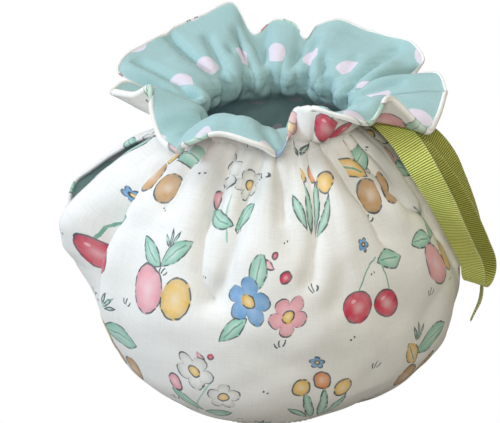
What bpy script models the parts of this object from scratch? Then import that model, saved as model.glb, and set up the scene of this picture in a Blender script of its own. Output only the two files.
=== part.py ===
"""Drawstring tea cosy: two printed panels with their linings, gathered under a ruffle, and a ribbon bow.

Blender 4.5, metres, +Z up. The spout side is -X, the handle side +X, and the front faces -Y.
The cloth's shape is worked out in millimetres as one ring of columns, each running from the hem's
inner edge up over the belly to the ruffle's rim. Panels lie outside that surface, linings inside it.
"""

import math

import bpy
import numpy as np

MM = 0.001

# Thicknesses in mm, measured from the surface where panel and lining meet
PANEL_THICK = 1.8
LINING_GAP = 0.3
LINING_THICK = 1.0
SEAM_HALF_GAP = 0.17
SEAM_SHARED = 2.0

# The box round the finished object is centred on the origin by this shift in x and y, in mm
CENTRE_SHIFT = (-0.75, 0.0)

# Body from the hem's inner edge to the top of the ribbon's casing, in mm
PROFILE = (
    # radius, height
    (35.0, 1.8),
    (44.0, 1.8),
    (50.0, 4.2),
    (60.0, 10.8),
    (72.0, 21.8),
    (81.0, 35.0),
    (84.8, 52.0),
    (84.5, 70.0),
    (80.5, 87.0),
    (74.5, 101.0),
    (66.5, 114.0),
    (55.5, 126.0),
    (42.5, 135.0),
    (36.0, 140.5),
    (35.0, 147.0),
)
HEM_ROWS = 2
RUFFLE_ROWS = 4
LOW_LEAN = -1.8
LEAN_TOP = 70.0

# The ruffle's rim, in mm. The cloth leaves the casing out and up by so much, and stands above the
# straight way to the rim by its crest
FRONT_RIM = (
    # x, y, z, out, up, crest
    (-77.0, 1.5, 153.0, 15.0, -9.0, -9.0),
    (-66.0, -5.0, 154.0, 13.0, -5.0, -5.0),
    (-58.5, -10.0, 159.0, 6.0, 5.0, 6.0),
    (-57.5, -17.0, 152.0, 4.0, 3.0, 2.0),
    (-53.5, -27.0, 142.0, 4.0, 2.0, 0.0),
    (-46.5, -38.5, 142.0, 3.0, 4.0, 8.0),
    (-40.5, -43.5, 145.5, 2.0, 4.0, 15.0),
    (-25.5, -48.0, 152.5, 2.0, 4.0, 18.0),
    (-10.0, -54.0, 150.5, 2.0, 4.0, 18.0),
    (1.0, -55.0, 147.0, 2.0, 3.0, 12.0),
    (4.0, -46.5, 150.5, 2.0, 3.0, 6.0),
    (8.0, -35.0, 160.5, 4.0, 1.0, 6.0),
    (15.5, -42.0, 161.5, 11.0, -1.0, 13.0),
    (26.0, -46.5, 160.0, 14.0, -2.0, 18.0),
    (39.0, -44.5, 156.0, 14.0, -2.0, 18.0),
    (49.0, -31.0, 162.0, 12.0, -1.0, 13.0),
    (57.0, -30.0, 155.0, 9.0, 1.0, 7.0),
    (68.0, -26.0, 144.5, 9.0, 0.0, 3.0),
    (73.5, -15.0, 147.0, 8.0, 2.0, 4.0),
    (78.5, -0.5, 153.0, 6.0, 3.0, 3.0),
)
BACK_RIM = (
    # x, y, z, out, up, crest
    (78.5, -0.5, 153.0, 6.0, 3.0, 3.0),
    (75.5, 12.0, 157.5, 4.0, 5.0, 4.0),
    (66.0, 13.0, 156.0, 4.0, 5.0, 6.0),
    (55.0, 16.5, 150.0, 4.0, 4.0, 2.0),
    (62.0, 23.0, 151.5, 4.0, 3.0, 0.0),
    (71.5, 30.0, 156.5, 2.0, 4.0, 2.0),
    (66.5, 42.0, 162.0, 2.0, 5.0, 1.0),
    (57.0, 51.0, 161.5, 2.0, 5.0, 1.0),
    (45.0, 57.5, 163.5, 1.0, 6.0, 1.0),
    (31.5, 63.0, 166.5, 0.0, 6.0, 2.0),
    (21.5, 62.0, 163.5, 0.0, 5.0, 0.0),
    (15.0, 54.5, 159.0, 2.0, 4.0, -3.0),
    (10.0, 60.0, 165.0, 0.0, 6.0, 0.0),
    (1.0, 64.0, 166.0, 0.0, 6.0, 1.0),
    (-10.0, 57.5, 160.5, 2.0, 4.0, -3.0),
    (-22.0, 68.5, 173.5, 0.0, 6.0, 0.0),
    (-35.5, 63.0, 169.0, 0.0, 6.0, 2.0),
    (-48.0, 56.0, 165.5, 0.0, 6.0, 2.0),
    (-62.5, 43.0, 161.0, 1.0, 5.0, 3.0),
    (-74.0, 29.0, 158.0, 2.0, 4.0, 3.0),
    (-75.5, 20.0, 155.5, 3.0, 3.0, 3.0),
    (-60.0, 13.0, 148.0, 6.0, -1.0, -2.0),
    (-72.0, 8.5, 154.5, 12.0, -5.0, -3.0),
    (-77.0, 1.5, 153.0, 15.0, -9.0, -9.0),
)
RIM_ROUNDNESS = 0.8

# Each panel has a column at every point of its rim, and more between them
COLUMN_STEP = 8.0
FINE_STEP = 4.5
FINE_ROWS = {"front": 5, "back": 0}

# Small gathers under and over the casing, in mm and per panel
GATHERS = 8
GATHER_DEPTH = 1.9
GATHER_LOW = 104.0

# The cloth stands off like a tent over the spout's root: extra reach by height, in mm, and how far
# it spreads to the front and to the back, in degrees
TENT = (
    # height, reach
    (38.0, 0.0),
    (52.0, 4.0),
    (65.0, 11.0),
    (77.0, 19.0),
    (90.0, 23.5),
    (98.0, 23.5),
    (110.0, 17.0),
    (124.0, 11.0),
    (138.0, 0.0),
)
TENT_SPREAD = (11.0, 14.0)

# Slits for the spout and the handle: heights in mm, half openings in degrees
SLITS = (
    # angle, low, high, half opening of the front, half opening of the back
    (180.0, 70.0, 131.0, 4.6, 11.0),
    (360.0, 62.0, 130.0, 6.0, 8.5),
)

# Valleys in the body, each between two heights, in mm and degrees. A ridge has its depth below 0
FOLDS = (
    # top angle, top height, low angle, low height, bow, depth, half width
    (205.0, 137.0, 201.0, 40.0, -5.0, 15.0, 3.6),
    (212.0, 137.0, 209.0, 36.0, -3.0, -5.0, 7.0),
    (238.0, 140.0, 258.0, 78.0, 0.0, 4.5, 5.0),
    (292.0, 142.0, 293.0, 106.0, 0.0, 4.0, 4.5),
    (346.0, 140.0, 351.0, 70.0, -5.0, 5.0, 5.5),
    (222.0, 140.0, 224.0, 112.0, 0.0, 3.0, 4.5),
    (269.0, 141.0, 274.0, 104.0, 0.0, 3.0, 4.5),
    (314.0, 142.0, 312.0, 92.0, 0.0, 3.5, 5.0),
    (330.0, 142.0, 330.0, 108.0, 0.0, 3.0, 4.5),
    (14.0, 138.0, 12.0, 60.0, 2.0, 5.0, 5.5),
    (38.0, 140.0, 34.0, 84.0, 0.0, 4.0, 5.0),
    (64.0, 141.0, 66.0, 96.0, 0.0, 3.5, 4.5),
    (97.0, 141.0, 92.0, 76.0, 0.0, 4.5, 5.0),
    (126.0, 141.0, 130.0, 98.0, 0.0, 3.5, 4.5),
    (156.0, 138.0, 157.0, 64.0, 3.0, 6.0, 4.5),
    (354.0, 84.0, 354.0, 32.0, 0.0, -3.0, 9.0),
    (298.0, 40.0, 298.0, -18.0, 0.0, 4.0, 20.0),
    (338.0, 70.0, 334.0, 4.0, 0.0, -3.0, 15.0),
)

# Ribbon bow by the handle, in mm and degrees
RIBBON_WIDE = 12.4
RIBBON_THICK = 1.0
KNOT_PLACE = (44.2, -0.5, 143.5)
KNOT_SIZE = (9.0, 12.0, 7.5)
FRONT_LOOP = (
    # x, y, z, direction that the ribbon's face looks, its tilt up
    (43.5, -3.0, 144.5, 280.0, 60.0),
    (51.0, -16.5, 143.5, 278.0, 50.0),
    (57.0, -27.0, 140.0, 268.0, 38.0),
    (62.2, -33.0, 133.5, 256.0, 25.0),
    (66.9, -35.0, 126.0, 248.0, 18.0),
    (73.7, -34.0, 114.0, 242.0, 14.0),
    (81.6, -30.5, 97.7, 237.0, 10.0),
    (86.6, -27.5, 87.5, 235.0, 6.0),
    (93.0, -24.0, 72.5, 235.0, 0.0),
    (94.0, -23.0, 67.0, 235.0, -20.0),
    (95.6, -20.6, 63.4, 235.0, -60.0),
    (98.8, -16.0, 63.4, 55.0, -60.0),
    (100.4, -13.6, 67.0, 55.0, -20.0),
    (100.2, -13.0, 72.0, 55.0, 0.0),
    (96.4, -13.2, 81.0, 57.0, -4.0),
    (90.6, -13.9, 93.0, 60.0, -8.0),
    (83.6, -14.9, 105.5, 65.0, -12.0),
    (76.0, -15.5, 117.0, 70.0, -16.0),
    (67.0, -14.5, 128.0, 75.0, -24.0),
    (57.5, -10.5, 137.0, 80.0, -42.0),
    (45.5, -2.0, 141.5, 90.0, -60.0),
)
FRONT_TAIL = (
    # x, y, z, direction that the ribbon's face looks, its tilt up
    (44.0, 0.5, 142.0, 310.0, 70.0),
    (56.0, -2.0, 138.5, 308.0, 60.0),
    (70.4, -2.0, 132.0, 305.0, 45.0),
    (80.4, -1.0, 119.5, 300.0, 32.0),
    (86.0, 0.0, 107.5, 300.0, 28.0),
    (92.4, 1.5, 91.5, 300.0, 20.0),
    (96.9, 2.5, 77.8, 306.0, 12.0),
    (100.6, 4.0, 63.5, 325.0, 4.0),
    (103.9, 5.0, 50.5, 352.0, 0.0),
    (104.2, 4.0, 41.5, 350.0, -8.0),
    (102.0, 3.0, 32.0, 332.0, -12.0),
)
BACK_LOOP = (
    # x, y, z, direction that the ribbon's face looks, its tilt up
    (43.5, 2.0, 144.5, 85.0, 60.0),
    (51.0, 15.5, 142.5, 82.0, 50.0),
    (57.0, 26.5, 138.0, 88.0, 38.0),
    (62.0, 33.5, 131.0, 97.0, 25.0),
    (66.5, 37.5, 123.0, 105.0, 18.0),
    (72.5, 39.5, 111.5, 112.0, 14.0),
    (79.0, 39.5, 97.0, 115.0, 8.0),
    (83.0, 38.5, 86.0, 116.0, 0.0),
    (84.1, 37.4, 81.5, 116.0, -20.0),
    (85.7, 34.7, 78.6, 116.0, -60.0),
    (88.1, 29.6, 78.6, 296.0, -60.0),
    (89.6, 26.8, 82.0, 296.0, -20.0),
    (89.8, 25.8, 87.0, 296.0, 0.0),
    (86.8, 24.5, 96.0, 297.0, -5.0),
    (81.5, 22.3, 107.5, 299.0, -10.0),
    (74.8, 19.7, 119.0, 302.0, -16.0),
    (66.2, 15.7, 129.5, 304.0, -26.0),
    (56.5, 9.7, 137.0, 300.0, -42.0),
    (45.5, 1.5, 141.5, 290.0, -60.0),
)
BACK_TAIL = (
    # x, y, z, direction that the ribbon's face looks, its tilt up
    (44.0, 3.0, 143.0, 85.0, 60.0),
    (49.0, 21.0, 139.0, 75.0, 45.0),
    (56.5, 38.0, 127.0, 68.0, 28.0),
    (63.0, 50.0, 110.0, 64.0, 18.0),
    (67.5, 57.0, 91.0, 60.0, 8.0),
    (69.5, 60.0, 72.0, 56.0, 0.0),
)
RIBBON_STEP = 4.0

COLOURS = {
    # name: red, green, blue, roughness
    "print_cotton": (0.83, 0.84, 0.80, 0.85),
    "teal_cotton": (0.36, 0.55, 0.55, 0.85),
    "green_ribbon": (0.36, 0.44, 0.07, 0.6),
}


def clear_scene():
    for obj in list(bpy.data.objects):
        bpy.data.objects.remove(obj, do_unlink=True)


def material(name):
    red, green, blue, roughness = COLOURS[name]
    made = bpy.data.materials.new(name)
    made.use_nodes = True
    shader = made.node_tree.nodes["Principled BSDF"]
    shader.inputs["Base Color"].default_value = (red, green, blue, 1.0)
    shader.inputs["Roughness"].default_value = roughness
    shader.inputs["Metallic"].default_value = 0.0
    made.diffuse_color = (red, green, blue, 1.0)
    return made


def curve_through(knots, values, wanted, roundness=1.0):
    """Curve through the values at rising knots, read at the wanted places: straight pieces at roundness 0."""
    knots = np.asarray(knots, float)
    values = np.asarray(values, float)
    slopes = np.gradient(values, knots, axis=0)
    wanted = np.clip(wanted, knots[0], knots[-1])
    piece = np.clip(np.searchsorted(knots, wanted, side="right") - 1, 0, len(knots) - 2)
    length = (knots[piece + 1] - knots[piece])[:, None]
    part = ((wanted - knots[piece]) / length[:, 0])[:, None]
    before, after = values[piece], values[piece + 1]
    straight = (1.0 - roundness) * (after - before)
    rise = straight + roundness * slopes[piece] * length
    fall = straight + roundness * slopes[piece + 1] * length
    return (
        before * (2 * part**3 - 3 * part**2 + 1)
        + rise * (part**3 - 2 * part**2 + part)
        + after * (3 * part**2 - 2 * part**3)
        + fall * (part**3 - part**2)
    )


def along(points):
    """Distance from the first point to each, along the points."""
    steps = np.linalg.norm(np.diff(points, axis=0), axis=1)
    return np.concatenate([[0.0], np.cumsum(steps)])


def stations(rows, step, fine_step=None, fine_rows=0):
    """Distances along the rows: one at each row and others between them, about a step apart."""
    length = along(np.array(rows)[:, :3])
    found = [0.0]
    for row, (start, end) in enumerate(zip(length, length[1:])):
        count = max(1, round((end - start) / (fine_step if row < fine_rows else step)))
        found.extend(np.linspace(start, end, count + 1)[1:])
    return np.array(found)


def bump(height, low, high, power):
    """Rises from 0 at the low height to 1 between them and back to 0 at the high one."""
    part = np.clip((height - low) / (high - low), 0.0, 1.0)
    return np.sin(math.pi * part) ** power


def slit_angles(angles, height):
    """The panel's column angles at one height, pushed apart where a slit stands open."""
    moved = angles.copy()
    first, last = angles[0], angles[-1]
    share = (angles - first) / (last - first)
    for slit, low, high, front, back in SLITS:
        half = (front if first >= 180.0 else back) * bump(height, low, high, 0.7)
        if abs(slit - first) % 360.0 < 1.0:
            moved = moved + half * (1.0 - share) ** 3
        if abs(slit - last) % 360.0 < 1.0:
            moved = moved - half * share**3
    return moved


def fold_depth(angles, height):
    """How far the valleys draw the cloth in at one height, in mm."""
    depth = np.zeros_like(angles)
    for top_angle, top, low_angle, low, bow, deep, wide in FOLDS:
        part = np.clip((height - low) / (top - low), 0.0, 1.0)
        centre = low_angle + (top_angle - low_angle) * part + 4.0 * bow * part * (1.0 - part)
        away = (angles - centre + 180.0) % 360.0 - 180.0
        depth += deep * bump(height, low, top, 0.75) * np.exp(-((away / wide) ** 2))
    return depth


def gather_wave(angles):
    """A slightly uneven wave round the neck, between -1 and 1."""
    turn = np.radians(angles)
    return np.cos(2 * GATHERS * turn + 0.9 * np.sin(3 * turn) + 0.6 * np.sin(5 * turn + 1.0))


def body_ring(angles, radius, height):
    """Points of one ring of the body, in mm."""
    moved = slit_angles(angles, height)
    heights, reaches = np.array(TENT).T
    from_spout = angles - 180.0
    spread = np.where(from_spout > 0.0, TENT_SPREAD[0], TENT_SPREAD[1])
    tent = np.interp(height, heights, reaches) * np.exp(-((from_spout / spread) ** 2))
    near_neck = np.clip((height - GATHER_LOW) / (143.0 - GATHER_LOW), 0.0, 1.0) ** 1.5
    reach = radius + tent - fold_depth(moved, height)
    reach += GATHER_DEPTH * near_neck * gather_wave(angles)
    turn = np.radians(moved)
    lean = LOW_LEAN * np.clip(1.0 - height / LEAN_TOP, 0.0, 1.0)
    return np.stack(
        [reach * np.cos(turn) + lean, reach * np.sin(turn), np.full_like(turn, height)], axis=1
    )


def ruffle_rings(neck, rim, shares):
    """Rings from the casing's top out to the rim, in mm. The small gathers fade as they leave the casing."""
    rim = np.array(rim)
    length = along(rim[:, :3])
    at_rim = curve_through(length / length[-1], rim, shares, RIM_ROUNDNESS)
    outer, (out, up, crest) = at_rim[:, :3], at_rim[:, 3:].T
    plain = neck.copy()
    plain[:, :2] *= (PROFILE[-1][0] / np.linalg.norm(neck[:, :2], axis=1))[:, None]
    away = (outer - plain)[:, :2]
    away *= (out / np.linalg.norm(away, axis=1))[:, None]
    leaving = plain + np.column_stack([away, up])
    arriving = (plain + outer) / 2
    arriving[:, 2] += crest
    rings = []
    for row in range(1, RUFFLE_ROWS + 1):
        w = row / RUFFLE_ROWS
        rings.append(
            (1 - w) ** 3 * neck
            + 3 * w * (1 - w) ** 2 * leaving
            + 3 * w * w * (1 - w) * arriving
            + w**3 * outer
        )
    return rings


def panel_grid(side):
    """Rows of points from the hem's inner edge to the rim, in mm."""
    rim, first_angle = (FRONT_RIM, 180.0) if side == "front" else (BACK_RIM, 0.0)
    places = stations(rim, COLUMN_STEP, FINE_STEP, FINE_ROWS[side])
    shares = places / places[-1]
    angles = first_angle + 180.0 * shares
    rings = [body_ring(angles, radius, height) for radius, height in PROFILE]
    rings += ruffle_rings(rings[-1], rim, shares)
    grid = np.array(rings)
    for edge, inward in ((0, 1), (-1, -2)):
        step = grid[:, inward] - grid[:, edge]
        step /= np.linalg.norm(step, axis=1)[:, None]
        grid[:, edge] += SEAM_HALF_GAP * step
    grid[:, :, :2] += CENTRE_SHIFT
    return grid


def outward(ring, split):
    """Directions out of the closed ring of columns, evened out between neighbours and shared at seams."""
    following = np.roll(ring, -1, axis=1)
    across = following[1:] - ring[:-1]
    other = ring[1:] - following[:-1]
    faces = np.cross(across, other)
    normals = np.zeros_like(ring)
    for rows in (slice(0, -1), slice(1, None)):
        normals[rows] += faces
        normals[rows] += np.roll(faces, 1, axis=1)
    normals /= np.linalg.norm(normals, axis=2)[:, :, None]
    true = normals.copy()
    for _ in range(2):
        padded = np.concatenate([normals[:1], normals, normals[-1:]])
        normals = normals * 2 + padded[:-2] + padded[2:]
        normals += np.roll(normals, 1, axis=1) + np.roll(normals, -1, axis=1)
        normals /= np.linalg.norm(normals, axis=2)[:, :, None]
    normals[:HEM_ROWS] = (0.0, 0.0, -1.0)
    true[:HEM_ROWS] = (0.0, 0.0, -1.0)
    slant = np.clip(np.sum(true * normals, axis=2), 0.85, 1.0)
    for last, first in ((split - 1, split), (-1, 0)):
        apart = np.linalg.norm(ring[:, last] - ring[:, first], axis=1)
        shared = np.exp(-((apart / SEAM_SHARED) ** 2))[:, None] / 2
        one, other = normals[:, last].copy(), normals[:, first].copy()
        normals[:, last] += (other - one) * shared
        normals[:, first] += (one - other) * shared
        one, other = slant[:, last].copy(), slant[:, first].copy()
        slant[:, last] += (other - one) * shared[:, 0]
        slant[:, first] += (one - other) * shared[:, 0]
    return normals / slant[:, :, None]


def mesh_object(name, points, faces, surface):
    """Object of one mesh, from points in mm."""
    mesh = bpy.data.meshes.new(name)
    mesh.from_pydata((np.asarray(points) * MM).tolist(), [], faces)
    mesh.validate()
    obj = bpy.data.objects.new(name, mesh)
    obj.data.materials.append(surface)
    bpy.context.scene.collection.objects.link(obj)
    return obj


def cloth_solid(name, grid, directions, near, far, surface):
    """Closed sheet between two distances from the grid, both cut along the same diagonals."""
    rows, columns, _ = grid.shape
    near_side = grid + directions * near
    far_side = grid + directions * far
    points = np.concatenate([far_side.reshape(-1, 3), near_side.reshape(-1, 3)])
    under = rows * columns
    faces = []
    for i in range(rows - 1):
        for j in range(columns - 1):
            a, b = i * columns + j, i * columns + j + 1
            d, c = a + columns, b + columns
            short = np.linalg.norm(grid[i, j] - grid[i + 1, j + 1])
            other = np.linalg.norm(grid[i, j + 1] - grid[i + 1, j])
            pair = [(a, b, c), (a, c, d)] if short < other else [(a, b, d), (b, c, d)]
            faces += pair
            faces += [tuple(v + under for v in reversed(face)) for face in pair]
    border = list(range(columns))
    border += [i * columns + columns - 1 for i in range(1, rows)]
    border += [(rows - 1) * columns + j for j in range(columns - 2, -1, -1)]
    border += [i * columns for i in range(rows - 2, 0, -1)]
    for first, second in zip(border, border[1:] + border[:1]):
        faces.append((first, first + under, second + under))
        faces.append((first, second + under, second))
    return mesh_object(name, points, faces, surface)


def cloth_pieces():
    front = panel_grid("front")
    back = panel_grid("back")
    split = front.shape[1]
    directions = outward(np.concatenate([front, back], axis=1), split)
    cotton = material("print_cotton")
    teal = material("teal_cotton")
    for side, grid, out in (
        ("front", front, directions[:, :split]),
        ("back", back, directions[:, split:]),
    ):
        cloth_solid("panel_" + side, grid, out, 0.0, PANEL_THICK, cotton)
        inner = -LINING_GAP - LINING_THICK
        cloth_solid("lining_" + side, grid, out, inner, -LINING_GAP, teal)


def ribbon_strip(name, route, surface, slant=0.0):
    """Flat closed strip along a route. Its last section is cut slanting by this many mm."""
    route = np.array(route)
    length = along(route[:, :3])
    places = stations(route, RIBBON_STEP)
    facing = np.radians(route[:, 3])
    tilt = np.radians(route[:, 4])
    faces_to = np.stack(
        [np.cos(facing) * np.cos(tilt), np.sin(facing) * np.cos(tilt), np.sin(tilt)], axis=1
    )
    rows = np.concatenate([route[:, :3], faces_to], axis=1)
    rows = curve_through(length, rows, places)
    middle, faces_to = rows[:, :3], rows[:, 3:]
    heading = np.gradient(middle, places, axis=0)
    heading /= np.linalg.norm(heading, axis=1)[:, None]
    side = np.cross(heading, faces_to)
    side /= np.linalg.norm(side, axis=1)[:, None]
    normal = np.cross(side, heading)
    sections = len(places)
    slants = np.zeros(sections)
    slants[-3:] = np.array([0.25, 0.5, 1.0]) * slant
    points = []
    for i in range(sections):
        for across, up in ((-1, -1), (1, -1), (1, 1), (-1, 1)):
            place = middle[i] + side[i] * across * RIBBON_WIDE / 2
            place = place + normal[i] * up * RIBBON_THICK / 2
            place = place + heading[i] * across * slants[i] / 2
            points.append(place + (*CENTRE_SHIFT, 0.0))
    faces = [(0, 1, 2, 3)]
    for i in range(sections - 1):
        for k in range(4):
            a, b = 4 * i + k, 4 * i + (k + 1) % 4
            faces.append((b, a, a + 4, b + 4))
    last = 4 * (sections - 1)
    faces.append((last + 3, last + 2, last + 1, last))
    return mesh_object(name, points, faces, surface)


def ribbon_tie():
    """The bow outside the casing: a knot with two loops and two free ends, as one solid."""
    green = material("green_ribbon")
    bpy.ops.mesh.primitive_uv_sphere_add(segments=12, ring_count=8, radius=0.5)
    knot = bpy.context.object
    knot.name = "ribbon_tie"
    x, y, z = KNOT_PLACE
    knot.location = ((x + CENTRE_SHIFT[0]) * MM, (y + CENTRE_SHIFT[1]) * MM, z * MM)
    knot.scale = [size * MM for size in KNOT_SIZE]
    knot.data.materials.append(green)
    for name, route, slant in (
        ("front_loop", FRONT_LOOP, 0.0),
        ("front_tail", FRONT_TAIL, 7.0),
        ("back_loop", BACK_LOOP, 0.0),
        ("back_tail", BACK_TAIL, -7.0),
    ):
        strip = ribbon_strip(name, route, green, slant)
        strip.hide_render = True
        strip.hide_set(True)
        joined = knot.modifiers.new(name, "BOOLEAN")
        joined.operation = "UNION"
        joined.object = strip


def main():
    clear_scene()
    cloth_pieces()
    ribbon_tie()


main()
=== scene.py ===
"""Looks of the drawstring tea cosy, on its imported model.

The cloth is worked out in millimetres like the model's own surface, only finer, with the pleats at the
neck and the creases added. Each panel and lining is a thin closed sheet, and the bow is a ribbed ribbon.
"""

import math

import bpy
import numpy as np
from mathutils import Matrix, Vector

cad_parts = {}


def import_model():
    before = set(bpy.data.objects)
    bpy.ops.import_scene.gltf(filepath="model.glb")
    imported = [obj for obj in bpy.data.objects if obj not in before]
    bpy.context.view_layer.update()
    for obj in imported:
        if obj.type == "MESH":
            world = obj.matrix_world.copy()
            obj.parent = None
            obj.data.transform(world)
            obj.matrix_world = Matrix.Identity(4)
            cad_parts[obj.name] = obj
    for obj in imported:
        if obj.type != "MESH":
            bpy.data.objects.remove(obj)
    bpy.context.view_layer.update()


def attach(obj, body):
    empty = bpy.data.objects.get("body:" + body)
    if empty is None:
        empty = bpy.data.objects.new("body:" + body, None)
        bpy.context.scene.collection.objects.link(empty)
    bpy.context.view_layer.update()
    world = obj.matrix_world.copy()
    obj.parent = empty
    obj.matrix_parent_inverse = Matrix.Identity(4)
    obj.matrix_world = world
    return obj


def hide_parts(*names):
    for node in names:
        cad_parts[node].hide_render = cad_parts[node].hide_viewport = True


MM = 0.001

# The model's own sizes in mm
CENTRE_SHIFT = (-0.75, 0.0)
PANEL_THICK = 1.8
LINING_GAP = 0.3
LINING_THICK = 1.0
SEAM_HALF_GAP = 0.17
PROFILE = (
    # radius, height
    (35.0, 1.8),
    (44.0, 1.8),
    (50.0, 4.2),
    (60.0, 10.8),
    (72.0, 21.8),
    (81.0, 35.0),
    (84.8, 52.0),
    (84.5, 70.0),
    (80.5, 87.0),
    (74.5, 101.0),
    (66.5, 114.0),
    (55.5, 126.0),
    (42.5, 135.0),
    (36.0, 140.5),
    (35.0, 147.0),
)
LOW_LEAN = -1.8
LEAN_TOP = 70.0
FRONT_RIM = (
    # x, y, z, out, up, crest
    (-77.0, 1.5, 153.0, 15.0, -9.0, -9.0),
    (-66.0, -5.0, 154.0, 13.0, -5.0, -5.0),
    (-58.5, -10.0, 159.0, 6.0, 5.0, 6.0),
    (-57.5, -17.0, 152.0, 4.0, 3.0, 2.0),
    (-53.5, -27.0, 142.0, 4.0, 2.0, 0.0),
    (-46.5, -38.5, 142.0, 3.0, 4.0, 8.0),
    (-40.5, -43.5, 145.5, 2.0, 4.0, 15.0),
    (-25.5, -48.0, 152.5, 2.0, 4.0, 18.0),
    (-10.0, -54.0, 150.5, 2.0, 4.0, 18.0),
    (1.0, -55.0, 147.0, 2.0, 3.0, 12.0),
    (4.0, -46.5, 150.5, 2.0, 3.0, 6.0),
    (8.0, -35.0, 160.5, 4.0, 1.0, 6.0),
    (15.5, -42.0, 161.5, 11.0, -1.0, 13.0),
    (26.0, -46.5, 160.0, 14.0, -2.0, 18.0),
    (39.0, -44.5, 156.0, 14.0, -2.0, 18.0),
    (49.0, -31.0, 162.0, 12.0, -1.0, 13.0),
    (57.0, -30.0, 155.0, 9.0, 1.0, 7.0),
    (68.0, -26.0, 144.5, 9.0, 0.0, 3.0),
    (73.5, -15.0, 147.0, 8.0, 2.0, 4.0),
    (78.5, -0.5, 153.0, 6.0, 3.0, 3.0),
)
BACK_RIM = (
    # x, y, z, out, up, crest
    (78.5, -0.5, 153.0, 6.0, 3.0, 3.0),
    (75.5, 12.0, 157.5, 4.0, 5.0, 4.0),
    (66.0, 13.0, 156.0, 4.0, 5.0, 6.0),
    (55.0, 16.5, 150.0, 4.0, 4.0, 2.0),
    (62.0, 23.0, 151.5, 4.0, 3.0, 0.0),
    (71.5, 30.0, 156.5, 2.0, 4.0, 2.0),
    (66.5, 42.0, 162.0, 2.0, 5.0, 1.0),
    (57.0, 51.0, 161.5, 2.0, 5.0, 1.0),
    (45.0, 57.5, 163.5, 1.0, 6.0, 1.0),
    (31.5, 63.0, 166.5, 0.0, 6.0, 2.0),
    (21.5, 62.0, 163.5, 0.0, 5.0, 0.0),
    (15.0, 54.5, 159.0, 2.0, 4.0, -3.0),
    (10.0, 60.0, 165.0, 0.0, 6.0, 0.0),
    (1.0, 64.0, 166.0, 0.0, 6.0, 1.0),
    (-10.0, 57.5, 160.5, 2.0, 4.0, -3.0),
    (-22.0, 68.5, 173.5, 0.0, 6.0, 0.0),
    (-35.5, 63.0, 169.0, 0.0, 6.0, 2.0),
    (-48.0, 56.0, 165.5, 0.0, 6.0, 2.0),
    (-62.5, 43.0, 161.0, 1.0, 5.0, 3.0),
    (-74.0, 29.0, 158.0, 2.0, 4.0, 3.0),
    (-75.5, 20.0, 155.5, 3.0, 3.0, 3.0),
    (-60.0, 13.0, 148.0, 6.0, -1.0, -2.0),
    (-72.0, 8.5, 154.5, 12.0, -5.0, -3.0),
    (-77.0, 1.5, 153.0, 15.0, -9.0, -9.0),
)
RIM_ROUNDNESS = 0.8
GATHERS = 8
GATHER_DEPTH = 1.9
GATHER_LOW = 104.0
GATHER_TOP = 143.0
TENT = (
    # height, reach
    (38.0, 0.0),
    (52.0, 4.0),
    (65.0, 11.0),
    (77.0, 19.0),
    (90.0, 23.5),
    (98.0, 23.5),
    (110.0, 17.0),
    (124.0, 11.0),
    (138.0, 0.0),
)
TENT_SPREAD = (11.0, 14.0)
SLITS = (
    # angle, low, high, half opening of the front, half opening of the back
    (180.0, 70.0, 131.0, 4.6, 11.0),
    (360.0, 62.0, 130.0, 6.0, 8.5),
)
FOLDS = (
    # top angle, top height, low angle, low height, bow, depth, half width
    (205.0, 137.0, 201.0, 40.0, -5.0, 15.0, 3.6),
    (212.0, 137.0, 209.0, 36.0, -3.0, -5.0, 7.0),
    (238.0, 140.0, 258.0, 78.0, 0.0, 4.5, 5.0),
    (292.0, 142.0, 293.0, 106.0, 0.0, 4.0, 4.5),
    (346.0, 140.0, 351.0, 70.0, -5.0, 5.0, 5.5),
    (222.0, 140.0, 224.0, 112.0, 0.0, 3.0, 4.5),
    (269.0, 141.0, 274.0, 104.0, 0.0, 3.0, 4.5),
    (314.0, 142.0, 312.0, 92.0, 0.0, 3.5, 5.0),
    (330.0, 142.0, 330.0, 108.0, 0.0, 3.0, 4.5),
    (14.0, 138.0, 12.0, 60.0, 2.0, 5.0, 5.5),
    (38.0, 140.0, 34.0, 84.0, 0.0, 4.0, 5.0),
    (64.0, 141.0, 66.0, 96.0, 0.0, 3.5, 4.5),
    (97.0, 141.0, 92.0, 76.0, 0.0, 4.5, 5.0),
    (126.0, 141.0, 130.0, 98.0, 0.0, 3.5, 4.5),
    (156.0, 138.0, 157.0, 64.0, 3.0, 6.0, 4.5),
    (354.0, 84.0, 354.0, 32.0, 0.0, -3.0, 9.0),
    (298.0, 40.0, 298.0, -18.0, 0.0, 4.0, 20.0),
    (338.0, 70.0, 334.0, 4.0, 0.0, -3.0, 15.0),
)
RIBBON_WIDE = 12.4
KNOT_PLACE = (44.2, -0.5, 143.5)
KNOT_SIZE = (9.0, 12.0, 7.5)
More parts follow.
